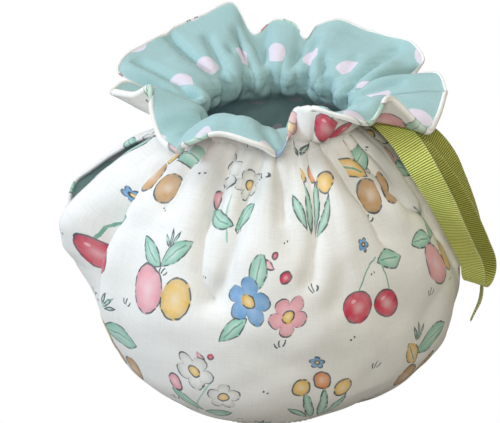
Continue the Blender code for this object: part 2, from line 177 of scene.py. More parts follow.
FRONT_LOOP = (
    # x, y, z, direction that the ribbon's face looks, its tilt up
    (43.5, -3.0, 144.5, 280.0, 60.0),
    (51.0, -16.5, 143.5, 278.0, 50.0),
    (57.0, -27.0, 140.0, 268.0, 38.0),
    (62.2, -33.0, 133.5, 256.0, 25.0),
    (66.9, -35.0, 126.0, 248.0, 18.0),
    (73.7, -34.0, 114.0, 242.0, 14.0),
    (81.6, -30.5, 97.7, 237.0, 10.0),
    (86.6, -27.5, 87.5, 235.0, 6.0),
    (93.0, -24.0, 72.5, 235.0, 0.0),
    (94.0, -23.0, 67.0, 235.0, -20.0),
    (95.6, -20.6, 63.4, 235.0, -60.0),
    (98.8, -16.0, 63.4, 55.0, -60.0),
    (100.4, -13.6, 67.0, 55.0, -20.0),
    (100.2, -13.0, 72.0, 55.0, 0.0),
    (96.4, -13.2, 81.0, 57.0, -4.0),
    (90.6, -13.9, 93.0, 60.0, -8.0),
    (83.6, -14.9, 105.5, 65.0, -12.0),
    (76.0, -15.5, 117.0, 70.0, -16.0),
    (67.0, -14.5, 128.0, 75.0, -24.0),
    (57.5, -10.5, 137.0, 80.0, -42.0),
    (45.5, -2.0, 141.5, 90.0, -60.0),
)
FRONT_TAIL = (
    # x, y, z, direction that the ribbon's face looks, its tilt up
    (44.0, 0.5, 142.0, 310.0, 70.0),
    (56.0, -2.0, 138.5, 308.0, 60.0),
    (70.4, -2.0, 132.0, 305.0, 45.0),
    (80.4, -1.0, 119.5, 300.0, 32.0),
    (86.0, 0.0, 107.5, 300.0, 28.0),
    (92.4, 1.5, 91.5, 300.0, 20.0),
    (96.9, 2.5, 77.8, 306.0, 12.0),
    (100.6, 4.0, 63.5, 325.0, 4.0),
    (103.9, 5.0, 50.5, 352.0, 0.0),
    (104.2, 4.0, 41.5, 350.0, -8.0),
    (102.0, 3.0, 32.0, 332.0, -12.0),
)
BACK_LOOP = (
    # x, y, z, direction that the ribbon's face looks, its tilt up
    (43.5, 2.0, 144.5, 85.0, 60.0),
    (51.0, 15.5, 142.5, 82.0, 50.0),
    (57.0, 26.5, 138.0, 88.0, 38.0),
    (62.0, 33.5, 131.0, 97.0, 25.0),
    (66.5, 37.5, 123.0, 105.0, 18.0),
    (72.5, 39.5, 111.5, 112.0, 14.0),
    (79.0, 39.5, 97.0, 115.0, 8.0),
    (83.0, 38.5, 86.0, 116.0, 0.0),
    (84.1, 37.4, 81.5, 116.0, -20.0),
    (85.7, 34.7, 78.6, 116.0, -60.0),
    (88.1, 29.6, 78.6, 296.0, -60.0),
    (89.6, 26.8, 82.0, 296.0, -20.0),
    (89.8, 25.8, 87.0, 296.0, 0.0),
    (86.8, 24.5, 96.0, 297.0, -5.0),
    (81.5, 22.3, 107.5, 299.0, -10.0),
    (74.8, 19.7, 119.0, 302.0, -16.0),
    (66.2, 15.7, 129.5, 304.0, -26.0),
    (56.5, 9.7, 137.0, 300.0, -42.0),
    (45.5, 1.5, 141.5, 290.0, -60.0),
)
BACK_TAIL = (
    # x, y, z, direction that the ribbon's face looks, its tilt up
    (44.0, 3.0, 143.0, 85.0, 60.0),
    (49.0, 21.0, 139.0, 75.0, 45.0),
    (56.5, 38.0, 127.0, 68.0, 28.0),
    (63.0, 50.0, 110.0, 64.0, 18.0),
    (67.5, 57.0, 91.0, 60.0, 8.0),
    (69.5, 60.0, 72.0, 56.0, 0.0),
)

# Fine cloth, in mm
FLAT_WIDTH = 267.0
ROW_STEP = 1.9
PLEATS = 18
PLEAT_COLUMNS = 8
PLEAT_DEPTH = 1.5
CASING = 6.6
RIM_ROWS = (4.6, 3.8, 3.1, 2.6, 2.2, 1.7, 1.1, 0.6, 0.2, 0.0)
ROLL_WIDE = {"front": 2.0, "back": 0.9}
HEM_KNOT = 3
CASING_KNOT = -2
SEAM_DIP = (0.9, 3.0)
SEAM_DIP_STARTS = (4.0, 12.0)
LINING_SEAM_DIP = 0.3
STITCH_DIP = (0.7, 1.3)
LINING_PLEAT_TOP = 0.45
STILL_HEM = (2.5, 9.0)
CREASE_FADE = 6.0
PLEATS_END = -80.0
WORN_REACH = 3.0
DOWN_FADE = (30.0, 26.0)
UP_FADE = (20.0, 16.0)
PLEAT_FADE_POWER = 1.4
SQUEEZE_RISE = 1.6
ROLL_EDGE = 0.5
ROLL_PAST = 0.15
ROLL_ROUND = 1.2
PANEL_ROUND = 1.5
LINING_ROUND = 1.0

# Creases pressed into the cloth: troughs seen from outside, or from inside with a depth below 0
CREASES = (
    # side, path of (share of the width, way up from the neck), depth, half width
    ("front", ((0.312, -12.0), (0.345, -31.0), (0.338, -50.0), (0.349, -65.0), (0.371, -76.0)), 5.0, 5.2),
    ("front", ((0.439, -12.0), (0.415, -35.0), (0.407, -52.0), (0.391, -76.0)), 4.2, 4.4),
    ("front", ((0.375, -14.0), (0.380, -31.0), (0.372, -50.0), (0.378, -66.0)), -1.1, 5.0),
    ("front", ((0.270, -14.0), (0.285, -36.0), (0.290, -56.0)), -1.0, 5.0),
    ("front", ((0.595, -10.0), (0.589, -29.0), (0.584, -46.0), (0.557, -66.0)), 2.8, 3.8),
    ("front", ((0.642, -14.0), (0.650, -34.0), (0.640, -58.0)), -1.4, 4.6),
    ("front", ((0.694, -12.0), (0.701, -30.0), (0.728, -43.0), (0.738, -54.0)), 3.4, 3.4),
    ("front", ((0.745, -16.0), (0.765, -36.0), (0.800, -52.0)), -1.4, 4.0),
    ("front", ((0.777, -16.0), (0.806, -37.0), (0.856, -50.0), (0.948, -74.0)), 3.4, 3.4),
    ("front", ((0.632, -59.0), (0.601, -76.0)), 1.6, 5.0),
    ("front", ((0.500, -8.0), (0.505, -36.0)), 2.2, 3.2),
    ("front", ((0.535, -10.0), (0.540, -30.0)), 1.6, 2.6),
    ("front", ((0.215, -10.0), (0.225, -44.0)), 2.2, 3.8),
    ("front", ((0.440, -96.0), (0.520, -104.0), (0.620, -100.0)), 0.9, 7.0),
    ("front", ((0.300, -100.0), (0.360, -112.0)), 0.8, 7.0),
    ("front", ((0.700, -88.0), (0.790, -98.0), (0.860, -96.0)), 1.0, 7.0),
    ("front", ((0.170, 2.0), (0.210, 14.0), (0.250, 27.0)), -3.6, 3.0),
    ("front", ((0.130, 4.0), (0.150, 18.0)), 1.6, 3.4),
    ("front", ((0.300, 6.0), (0.330, 22.0)), 1.6, 4.0),
    ("front", ((0.415, 4.0), (0.431, 18.5), (0.452, 26.0)), -2.6, 2.4),
    ("front", ((0.640, 6.0), (0.660, 22.0)), -1.6, 3.0),
    ("front", ((0.720, 6.0), (0.745, 24.0)), 1.4, 3.4),
    ("back", ((0.948, -4.0), (0.876, 14.0), (0.836, 36.0)), -4.7, 2.8),
    ("back", ((0.905, 8.0), (0.865, 26.0), (0.850, 38.0)), 2.0, 3.2),
    ("back", ((0.806, -8.0), (0.767, 8.4), (0.750, 25.0), (0.739, 38.0)), -4.7, 2.6),
    ("back", ((0.785, 6.0), (0.800, 24.0)), 1.6, 3.4),
    ("back", ((0.777, -6.0), (0.715, 8.4), (0.686, 28.0)), -3.6, 2.6),
    ("back", ((0.660, -8.0), (0.655, 16.0)), -2.6, 2.2),
    ("back", ((0.606, -10.0), (0.612, 6.5), (0.619, 27.0)), -4.2, 2.6),
    ("back", ((0.575, -6.0), (0.590, 18.0)), 1.4, 2.6),
    ("back", ((0.557, -6.0), (0.540, 12.0), (0.528, 24.0)), -2.9, 2.4),
    ("back", ((0.430, -6.0), (0.440, 16.0)), -2.3, 2.6),
    ("back", ((0.325, -8.0), (0.382, 9.2), (0.390, 24.0)), -3.6, 2.6),
    ("back", ((0.295, -10.0), (0.320, 10.0)), -2.1, 2.0),
    ("back", ((0.250, -10.0), (0.286, 2.0), (0.343, 14.0)), -3.4, 2.2),
    ("back", ((0.205, -6.0), (0.235, 8.0), (0.270, 20.0)), -2.3, 2.2),
    ("back", ((0.144, -8.0), (0.153, 3.0), (0.213, 20.7), (0.241, 38.0)), -5.5, 2.8),
    ("back", ((0.180, 12.0), (0.200, 30.0)), 1.8, 2.8),
    ("back", ((0.032, -4.0), (0.096, 6.2), (0.160, 24.0), (0.170, 39.0)), -3.9, 2.6),
    ("back", ((0.016, 2.0), (0.032, 15.0), (0.032, 25.0)), -2.9, 2.4),
)

# Stitches, in mm
STITCH_STEP = 2.7
STITCH_LONG = 1.9
STITCH_RADIUS = 0.2
THREAD_SIDES = 6

# Ribbon, in mm
RIB_STEP = 1.1
RIB_HEIGHT = 0.15
RIB_PARTS = 4
RIBBON_HALF_THICK = 0.4
RIBBON_CUP = 0.25
TAIL_SLANT = 7.0
SLANT_REACH = 8.0
KNOT_FLAT = (6.0, 28.0)

# Inks of the print and other colours, linear
INKS = {
    # name: red, green, blue
    "ground": (0.86, 0.86, 0.83),
    "mint": (0.33, 0.62, 0.50),
    "pine": (0.16, 0.40, 0.30),
    "pink": (0.88, 0.42, 0.48),
    "crimson": (0.68, 0.04, 0.10),
    "yellow": (0.90, 0.60, 0.18),
    "orange": (0.83, 0.33, 0.12),
    "sky": (0.18, 0.40, 0.70),
    "tan": (0.60, 0.36, 0.16),
    "slate": (0.05, 0.07, 0.09),
}

# The print's motifs, as rows of form, x, y, half width, half height, turn, ink.
# A line's half height is its bend, as a share of its half width
MOTIFS = (
    (
        ("line", -4.5, 4.8, 10.4, 0.16, 64.0, "pine"),
        ("line", 5.0, 5.3, 9.2, -0.16, 112.0, "pine"),
        ("leaf", 9.8, 14.7, 9.2, 4.3, 18.0, "mint"),
        ("ball", -8.1, -7.3, 7.3, 7.0, 0.0, "crimson"),
        ("ball", 7.3, -5.6, 6.7, 6.6, 0.0, "crimson"),
    ),
    (
        ("line", 0.0, -4.2, 16.8, 0.12, 76.0, "mint"),
        ("leaf", -7.6, -9.8, 8.4, 3.9, 150.0, "mint"),
        ("leaf", 7.6, -12.6, 8.4, 3.9, 26.0, "mint"),
        ("bloom", -5.6, 12.6, 9.5, 9.5, 0.0, "ground"),
        ("ball", -5.6, 12.6, 2.9, 2.9, 0.0, "yellow"),
        ("bloom", 9.8, 2.8, 7.8, 7.8, 22.0, "ground"),
        ("ball", 9.8, 2.8, 2.5, 2.5, 0.0, "yellow"),
        ("ball", -13.4, -0.7, 3.4, 4.5, 20.0, "pink"),
    ),
    (
        ("leaf", -9.2, 13.7, 9.0, 4.2, 150.0, "mint"),
        ("leaf", 5.6, 14.6, 9.0, 4.2, 34.0, "mint"),
        ("ball", -7.0, -2.2, 8.7, 11.5, 14.0, "pink"),
        ("ball", 9.2, -5.9, 7.6, 9.5, -14.0, "yellow"),
    ),
    (
        ("leaf", -9.2, -9.0, 8.4, 2.1, 122.0, "mint"),
        ("leaf", -4.2, -4.8, 12.3, 2.2, 98.0, "mint"),
        ("leaf", 2.2, -4.2, 12.9, 2.2, 86.0, "mint"),
        ("leaf", 8.1, -7.0, 10.4, 2.2, 64.0, "mint"),
        ("ball", -7.3, 9.8, 3.9, 4.8, 10.0, "yellow"),
        ("ball", 2.2, 12.6, 3.9, 4.8, 0.0, "orange"),
        ("ball", 11.2, 7.0, 3.9, 4.6, -16.0, "yellow"),
    ),
    (
        ("leaf", 1.4, 14.8, 9.0, 4.2, 62.0, "mint"),
        ("leaf", -15.4, -8.1, 7.8, 3.6, 205.0, "mint"),
        ("bloom", -5.9, 2.8, 10.4, 10.4, 0.0, "sky"),
        ("ball", -5.9, 2.8, 3.1, 3.1, 0.0, "yellow"),
        ("bloom", 10.6, -6.4, 9.0, 9.0, 32.0, "pink"),
        ("ball", 10.6, -6.4, 2.7, 2.7, 0.0, "yellow"),
        ("ball", 14.0, 10.4, 2.7, 2.7, 0.0, "crimson"),
    ),
    (
        ("leaf", 1.4, 11.8, 11.5, 5.6, 16.0, "mint"),
        ("leaf", -11.8, 7.8, 8.7, 4.1, 138.0, "yellow"),
        ("ball", -6.2, -6.4, 6.0, 7.7, 20.0, "tan"),
        ("ball", 7.6, -5.3, 5.7, 7.3, -16.0, "tan"),
    ),
)
FILLERS = (
    (
        ("leaf", -2.6, 0.0, 3.4, 0.8, 118.0, "mint"),
        ("leaf", 0.0, 0.8, 4.2, 0.8, 90.0, "mint"),
        ("leaf", 2.8, 0.0, 3.4, 0.8, 60.0, "mint"),
    ),
    (
        ("leaf", -1.8, -0.6, 3.6, 1.5, 122.0, "pink"),
        ("ball", 2.6, 1.2, 1.5, 1.5, 0.0, "crimson"),
    ),
    (
        ("bloom", 0.0, 0.0, 3.2, 3.2, 0.0, "sky"),
        ("ball", 0.0, 0.0, 1.0, 1.0, 0.0, "yellow"),
    ),
)
TUFTS = (
    (
        ("line", -1.7, 0.0, 1.5, 0.25, 112.0, "slate"),
        ("line", 0.1, 0.5, 1.7, 0.2, 80.0, "slate"),
        ("line", 2.0, 0.0, 1.4, -0.3, 58.0, "slate"),
    ),
    (
        ("spot", -1.1, 0.0, 0.4, 0.5, 0.0, "slate"),
        ("spot", 0.9, 0.2, 0.4, 0.5, 0.0, "slate"),
    ),
    (),
)
PRINT_LAYERS = (
    # motifs, cell, shift, steps of the kind by column and row, jitter, tilt
    (TUFTS, (26.7, 23.5), (0.30, 0.42), (1.0, 2.0), (9.0, 8.0), 0.5),
    (FILLERS, (53.4, 47.0), (0.60, 0.65), (1.0, 2.0), (9.0, 5.0), 0.7),
    (MOTIFS, (53.4, 47.0), (0.10, 0.15), (2.0, 3.0), (5.0, 4.0), 0.3),
)

# Painting: an outline's place, pen widths and spots in mm, threads, and linear colours
EDGE = 0.8
LINE_HALF = 0.34
PEN_HALF = 0.34
DOT_CELL = (32.0, 36.0)
DOT_RADIUS = 5.6
DOT_SHIFT = (0.34, 0.17)
LINING_CUT = {"front": 18.0, "back": 0.0}
PRINT_PITCH = 0.42
TEAL_PITCH = 0.45
OUT_OF_SIGHT = 500.0
WHITE_GROUND = ((0.84, 0.85, 0.84, 1.0), (0.88, 0.875, 0.85, 1.0))
WORN_WHITE = (0.86, 0.85, 0.80, 1.0)
TEAL_GROUND = ((0.330, 0.520, 0.535, 1.0), (0.385, 0.585, 0.600, 1.0))
WORN_TEAL = (0.55, 0.68, 0.68, 1.0)
DOT_COLOUR = (0.74, 0.68, 0.78, 1.0)
# The ribs' furrows carry painted shade and their crowns painted light over the ribbon's own lime
RIBBON_FURROW_PAINTED_SHADE = (0.23, 0.27, 0.02, 1.0)
RIBBON_CROWN_PAINTED_LIGHT = (0.88, 0.94, 0.28, 1.0)
RIBBON_EDGE = (0.84, 0.90, 0.45, 1.0)
# Painted shade for the ribbon's faces turned from the light: the loops' inner sides and the tails
RIBBON_PAINTED_SHADE = (0.56, 0.52, 0.36, 1.0)
# Threads: a colour with painted shade and one with painted light, mixed along the twist
PALE_THREAD = ((0.55, 0.66, 0.64, 1.0), (0.78, 0.84, 0.81, 1.0))
TEAL_THREAD = ((0.30, 0.46, 0.46, 1.0), (0.48, 0.66, 0.66, 1.0))
TABLE_COLOUR = (0.34, 0.31, 0.28, 1.0)

# Lights in metres and watts
LIGHTS = (
    # name, place, power, size, colour
    ("top", (-0.1, 0.1, 1.1), 3.6, 0.5, (1.0, 0.97, 1.0)),
    ("left", (-0.95, -0.30, 0.60), 6.2, 0.25, (0.83, 0.97, 1.10)),
    ("back", (-0.8, 0.5, 0.6), 3.0, 0.4, (1.0, 0.92, 0.92)),
    ("right", (0.8, -0.3, 0.8), 2.6, 0.5, (1.0, 0.92, 0.68)),
    ("front", (-0.05, -0.95, 0.70), 5.2, 0.3, (1.0, 0.98, 0.92)),
)
LIGHT_AIM = (0.0, 0.0, 0.09)
WORLD_COLOUR = (1.0, 0.97, 0.93)
WORLD_STRENGTH = 0.03
EXPOSURE = 0.0

# Camera: mm, degrees, and the pixel of the photo at which the body's middle shows
BODY_MIDDLE = (CENTRE_SHIFT[0], CENTRE_SHIFT[1], 69.0)
CAMERA_ELEVATION = 28.0
CAMERA_DISTANCE = 600.0
CAMERA_LENS = 88.0
PICTURE = (500.0, 423.0)
MIDDLE_PIXEL = (275.0, 251.0)


def curve_through(knots, values, wanted, roundness=1.0):
    """Curve through the values at rising knots, read at the wanted places. Straight at roundness 0."""
    knots = np.asarray(knots, float)
    values = np.asarray(values, float)
    slopes = np.gradient(values, knots, axis=0)
    wanted = np.clip(wanted, knots[0], knots[-1])
    piece = np.clip(np.searchsorted(knots, wanted, side="right") - 1, 0, len(knots) - 2)
    length = (knots[piece + 1] - knots[piece])[:, None]
    part = ((wanted - knots[piece]) / length[:, 0])[:, None]
    before, after = values[piece], values[piece + 1]
    straight = (1.0 - roundness) * (after - before)
    rise = straight + roundness * slopes[piece] * length
    fall = straight + roundness * slopes[piece + 1] * length
    return (
        before * (2 * part**3 - 3 * part**2 + 1)
        + rise * (part**3 - 2 * part**2 + part)
        + after * (3 * part**2 - 2 * part**3)
        + fall * (part**3 - part**2)
    )


def along(points):
    """Distance from the first point to each, along the points."""
    steps = np.linalg.norm(np.diff(points, axis=0), axis=-1)
    return np.concatenate([np.zeros_like(steps[:1]), np.cumsum(steps, axis=0)])


def smooth_step(value, low, high):
    part = np.clip((value - low) / (high - low), 0.0, 1.0)
    return part * part * (3.0 - 2.0 * part)


def bump(height, low, high, power):
    """Rises from 0 at the low height to 1 between them and back to 0 at the high one."""
    part = np.clip((height - low) / (high - low), 0.0, 1.0)
    return np.sin(math.pi * part) ** power


def slit_angles(angles, height):
    """The panel's column angles at one height, pushed apart where a slit stands open."""
    moved = angles.copy()
    first, last = angles[0], angles[-1]
    share = (angles - first) / (last - first)
    for slit, low, high, front, back in SLITS:
        half = (front if first >= 180.0 else back) * bump(height, low, high, 0.7)
        if abs(slit - first) % 360.0 < 1.0:
            moved = moved + half * (1.0 - share) ** 3
        if abs(slit - last) % 360.0 < 1.0:
            moved = moved - half * share**3
    return moved


def fold_depth(angles, height):
    """How far the valleys draw the cloth in at one height, in mm."""
    depth = np.zeros_like(angles)
    for top_angle, top, low_angle, low, bow, deep, wide in FOLDS:
        part = np.clip((height - low) / (top - low), 0.0, 1.0)
        centre = low_angle + (top_angle - low_angle) * part + 4.0 * bow * part * (1.0 - part)
        away = (angles - centre + 180.0) % 360.0 - 180.0
        depth += deep * bump(height, low, top, 0.75) * np.exp(-((away / wide) ** 2))
    return depth


def gather_wave(angles):
    """A slightly uneven wave round the neck, between -1 and 1."""
    turn = np.radians(angles)
    return np.cos(2 * GATHERS * turn + 0.9 * np.sin(3 * turn) + 0.6 * np.sin(5 * turn + 1.0))


def body_ring(angles, radius, height):
    """Points of one ring of the body, in mm."""
    moved = slit_angles(angles, height)
    heights, reaches = np.array(TENT).T
    from_spout = angles - 180.0
    spread = np.where(from_spout > 0.0, TENT_SPREAD[0], TENT_SPREAD[1])
    tent = np.interp(height, heights, reaches) * np.exp(-((from_spout / spread) ** 2))
    near_neck = np.clip((height - GATHER_LOW) / (GATHER_TOP - GATHER_LOW), 0.0, 1.0) ** 1.5
    reach = radius + tent - fold_depth(moved, height)
    reach += GATHER_DEPTH * near_neck * gather_wave(angles)
    turn = np.radians(moved)
    lean = LOW_LEAN * np.clip(1.0 - height / LEAN_TOP, 0.0, 1.0)
    return np.stack(
        [reach * np.cos(turn) + lean, reach * np.sin(turn), np.full_like(turn, height)], axis=1
    )


def ruffle_rows(neck, rim, shares):
    """Rows from the casing's top out to the rim, in mm: even ones, and closer ones by the rim."""
    rim = np.array(rim)
    length = along(rim[:, :3])
    at_rim = curve_through(length / length[-1], rim, shares, RIM_ROUNDNESS)
    outer, (out, up, crest) = at_rim[:, :3], at_rim[:, 3:].T
    plain = neck.copy()
    plain[:, :2] *= (PROFILE[-1][0] / np.linalg.norm(neck[:, :2], axis=1))[:, None]
    away = (outer - plain)[:, :2]
    away *= (out / np.linalg.norm(away, axis=1))[:, None]
    leaving = plain + np.column_stack([away, up])
    arriving = (plain + outer) / 2
    arriving[:, 2] += crest
    w = np.linspace(0.0, 1.0, 61)[:, None, None]
    curve = (
        (1 - w) ** 3 * neck
        + 3 * w * (1 - w) ** 2 * leaving
        + 3 * w * w * (1 - w) * arriving
        + w**3 * outer
    )
    run = along(curve)
    even = round((run[-1].mean() - RIM_ROWS[0]) / ROW_STEP)
    rows = []
    for i in range(1, even + 1):
        rows.append((run[-1] - RIM_ROWS[0]) * i / even)
    for before_rim in RIM_ROWS[1:]:
        rows.append(run[-1] - before_rim)
    wanted = np.array(rows)
    found = np.zeros((len(wanted), len(shares), 3))
    for j in range(len(shares)):
        for k in range(3):
            found[:, j, k] = np.interp(wanted[:, j], run[:, j], curve[:, j, k])
    return found


def pleat_edges():
    """Shares at which the pleats meet, unevenly spaced."""
    edges = np.linspace(0.0, 1.0, PLEATS + 1)
    wobble = np.sin(edges * 47.0) + 0.6 * np.sin(edges * 91.0 + 2.0)
    edges[1:-1] += wobble[1:-1] * 0.16 / PLEATS
    return edges


class Cloth:
    """One side's fine surface from the hem's inner edge to the rim, and its places on the flat cloth."""

    def __init__(self, side):
        self.side = side
        rim, first_angle = (FRONT_RIM, 180.0) if side == "front" else (BACK_RIM, 0.0)
        edges = pleat_edges()
        shares = [0.0]
        for low, high in zip(edges, edges[1:]):
            shares.extend(np.linspace(low, high, PLEAT_COLUMNS + 1)[1:])
        self.edges = edges
        self.shares = np.array(shares)
        angles = first_angle + 180.0 * self.shares
        profile = np.array(PROFILE)
        knots = along(profile)
        places = [0.0]
        for low, high in zip(knots, knots[1:]):
            count = max(1, round((high - low) / ROW_STEP))
            places.extend(np.linspace(low, high, count + 1)[1:])
        outline = curve_through(knots, profile, np.array(places))
        outline[:, 1] = np.maximum(outline[:, 1], PROFILE[0][1])
        rings = [body_ring(angles, radius, height) for radius, height in outline]
        self.neck_row = len(rings) - 1
        self.casing_row = int(np.searchsorted(places, knots[CASING_KNOT] - 0.01))
        self.hem_row = int(np.searchsorted(places, knots[HEM_KNOT] - 0.01))
        ruffle = ruffle_rows(rings[-1], rim, self.shares)
        self.grid = np.concatenate([np.array(rings), ruffle])
        for _ in range(3):
            inner = self.grid[1:-1] * 2 + self.grid[:-2] + self.grid[2:]
            near_neck = slice(self.neck_row - 3, self.neck_row + 3)
            self.grid[1:-1][near_neck] = inner[near_neck] / 4
        for edge, inward in ((0, 1), (-1, -2)):
            step = self.grid[:, inward] - self.grid[:, edge]
            step /= np.linalg.norm(step, axis=1)[:, None]
            self.grid[:, edge] += SEAM_HALF_GAP * step
        self.grid[:, :, :2] += CENTRE_SHIFT
        run = along(self.grid)
        self.way = run - run[self.neck_row]
        self.from_rim = run[-1] - run
        self.ring_length = np.linalg.norm(np.diff(self.grid, axis=1), axis=2).sum(axis=1)


def directions(grid, evened):
    """Directions out of the cloth, evened out over the neighbours so many times."""
    across = np.gradient(grid, axis=1)
    up = np.gradient(grid, axis=0)
    normals = np.cross(across, up)
    normals /= np.linalg.norm(normals, axis=2)[:, :, None] + 1e-9
    for _ in range(evened):
        padded = np.pad(normals, ((1, 1), (1, 1), (0, 0)), mode="edge")
        normals = (
            padded[1:-1, 1:-1] * 2
            + padded[:-2, 1:-1]
            + padded[2:, 1:-1]
            + padded[1:-1, :-2]
            + padded[1:-1, 2:]
        )
        normals /= np.linalg.norm(normals, axis=2)[:, :, None]
    return normals


def uneven(points):
    """Slow waves over the cloth, in mm."""
    total = np.zeros(points.shape[:2])
    for amount, wave, turn, phase in (
        # amount, wavelength, direction, phase
        (0.30, 47.0, 0.4, 0.3),
        (0.24, 33.0, 1.5, 1.9),
        (0.20, 26.0, 2.6, 4.1),
        (0.12, 17.0, 0.9, 2.2),
        (0.10, 14.0, 2.1, 5.3),
    ):
        flow = points[:, :, 0] * math.cos(turn) + points[:, :, 2] * math.sin(turn)
        flow = flow + points[:, :, 1] * math.sin(turn + 1.1)
        total += amount * np.sin(2 * math.pi * flow / wave + phase)
    return total


def pleat_strength(cloth, numbers):
    """How strong each pleat is in each row: full at the casing, fading both ways by its own length."""
    down = DOWN_FADE[0] + DOWN_FADE[1] * (0.5 + 0.5 * np.sin(numbers * 2.4 + 0.7))
    up = UP_FADE[0] + UP_FADE[1] * (0.5 + 0.5 * np.sin(numbers * 3.1 + 1.3))
    below = np.clip(1.0 + (cloth.way + CASING) / down[None, :], 0.0, 1.0)
    above = np.clip(1.0 - cloth.way / up[None, :], 0.0, 1.0)
    strength = np.where(cloth.way > 0.0, above, np.where(cloth.way < -CASING, below, 1.0))
    return strength**PLEAT_FADE_POWER


def pleated(cloth, inside):
    """The pleats' rise in mm, and each column's pleat number. Inside, the bulges stand in between."""
    half = 0.5 / PLEATS if inside else 0.0
    edges = cloth.edges + half
    numbers = np.searchsorted(edges, cloth.shares + 1e-9, side="right") - 1.0
    low = np.where(numbers < 0, 0.0, edges[np.clip(numbers, 0, PLEATS).astype(int)])
    high = np.where(numbers >= PLEATS, 1.0, edges[np.clip(numbers + 1, 0, PLEATS).astype(int)])
    part = np.clip((cloth.shares - low) / np.maximum(high - low, 1e-6), 0.0, 1.0)
    round_top = 1.0 - np.abs(2.0 * part - 1.0) ** 2.4
    return round_top * pleat_strength(cloth, numbers), numbers


def crease_depth(cloth):
    """How deep the creases press both layers in, in mm."""
    depth = np.zeros(cloth.grid.shape[:2])
    for side, path, deep, wide in CREASES:
        if side != cloth.side:
            continue
        points = np.array([cloth_point(cloth, share, way) for share, way in path])
        nearest = np.full(depth.shape, 1e9)
        for start, end in zip(points, points[1:]):
            line = end - start
            part = np.clip(((cloth.grid - start) @ line) / (line @ line), 0.0, 1.0)
            away = np.linalg.norm(cloth.grid - start - part[:, :, None] * line, axis=2)
            nearest = np.minimum(nearest, away)
        depth += deep * np.exp(-((nearest / wide) ** 2))
    seam = np.minimum(cloth.shares, 1.0 - cloth.shares) * cloth.ring_length[:, None]
    return depth * smooth_step(seam, 0.0, CREASE_FADE)


def cloth_point(cloth, share, way):
    column = int(np.argmin(np.abs(cloth.shares - share)))
    row = int(np.argmin(np.abs(cloth.way[:, column] - way)))
    return cloth.grid[row, column]


def layer_grid(cloth, layer):
    """The layer's surface with pleats, creases and waves, its directions out, and its pleat numbers."""
    base = directions(cloth.grid, 4)
    rise, numbers = pleated(cloth, layer == "lining")
    depth = PLEAT_DEPTH * rise
    if layer == "lining":
        depth = PLEAT_DEPTH * (LINING_PLEAT_TOP - rise)
    seam = np.minimum(cloth.shares, 1.0 - cloth.shares) * cloth.ring_length[:, None]
    dip = SEAM_DIP[0] * np.exp(-((seam / SEAM_DIP[1]) ** 2))
    stitched = np.zeros_like(depth)
    for row in (cloth.neck_row, cloth.casing_row):
        away = cloth.way - cloth.way[row]
        stitched += STITCH_DIP[0] * np.exp(-((away / STITCH_DIP[1]) ** 2))
    if layer == "panel":
        depth = depth - stitched - dip * smooth_step(-cloth.way, *SEAM_DIP_STARTS)
    else:
        depth = depth + stitched + dip * LINING_SEAM_DIP
    depth = depth + uneven(cloth.grid) - crease_depth(cloth)
    fixed = smooth_step(cloth.grid[:, :, 2], *STILL_HEM)
    moved = cloth.grid + base * (depth * fixed)[:, :, None]
    return moved, directions(moved, 3), numbers


def rounded(distance, radius):
    """Share of the full thickness at this distance from a round edge."""
    part = np.clip(distance / radius, 0.0, 1.0)
    return np.sqrt(1.0 - (1.0 - part) ** 2)


def linked_object(name, mesh, surface):
    mesh.materials.append(surface)
    obj = bpy.data.objects.new(name, mesh)
    bpy.context.scene.collection.objects.link(obj)
    return obj


def sheet_object(name, points, faces, corners, edge_share, surface):
    """A mesh with the corners' flat places as its UV map and the nearness of a worn edge on its points."""
    mesh = bpy.data.meshes.new(name)
    mesh.from_pydata((points * MM).tolist(), [], faces.tolist())
    places = mesh.uv_layers.new(name="flat")
    places.data.foreach_set("uv", (corners * MM).astype(np.float32).ravel())
    worn = mesh.attributes.new("worn", "FLOAT", "POINT")
    worn.data.foreach_set("value", edge_share.astype(np.float32).ravel())
    mesh.shade_smooth()
    return linked_object(name, mesh, surface)


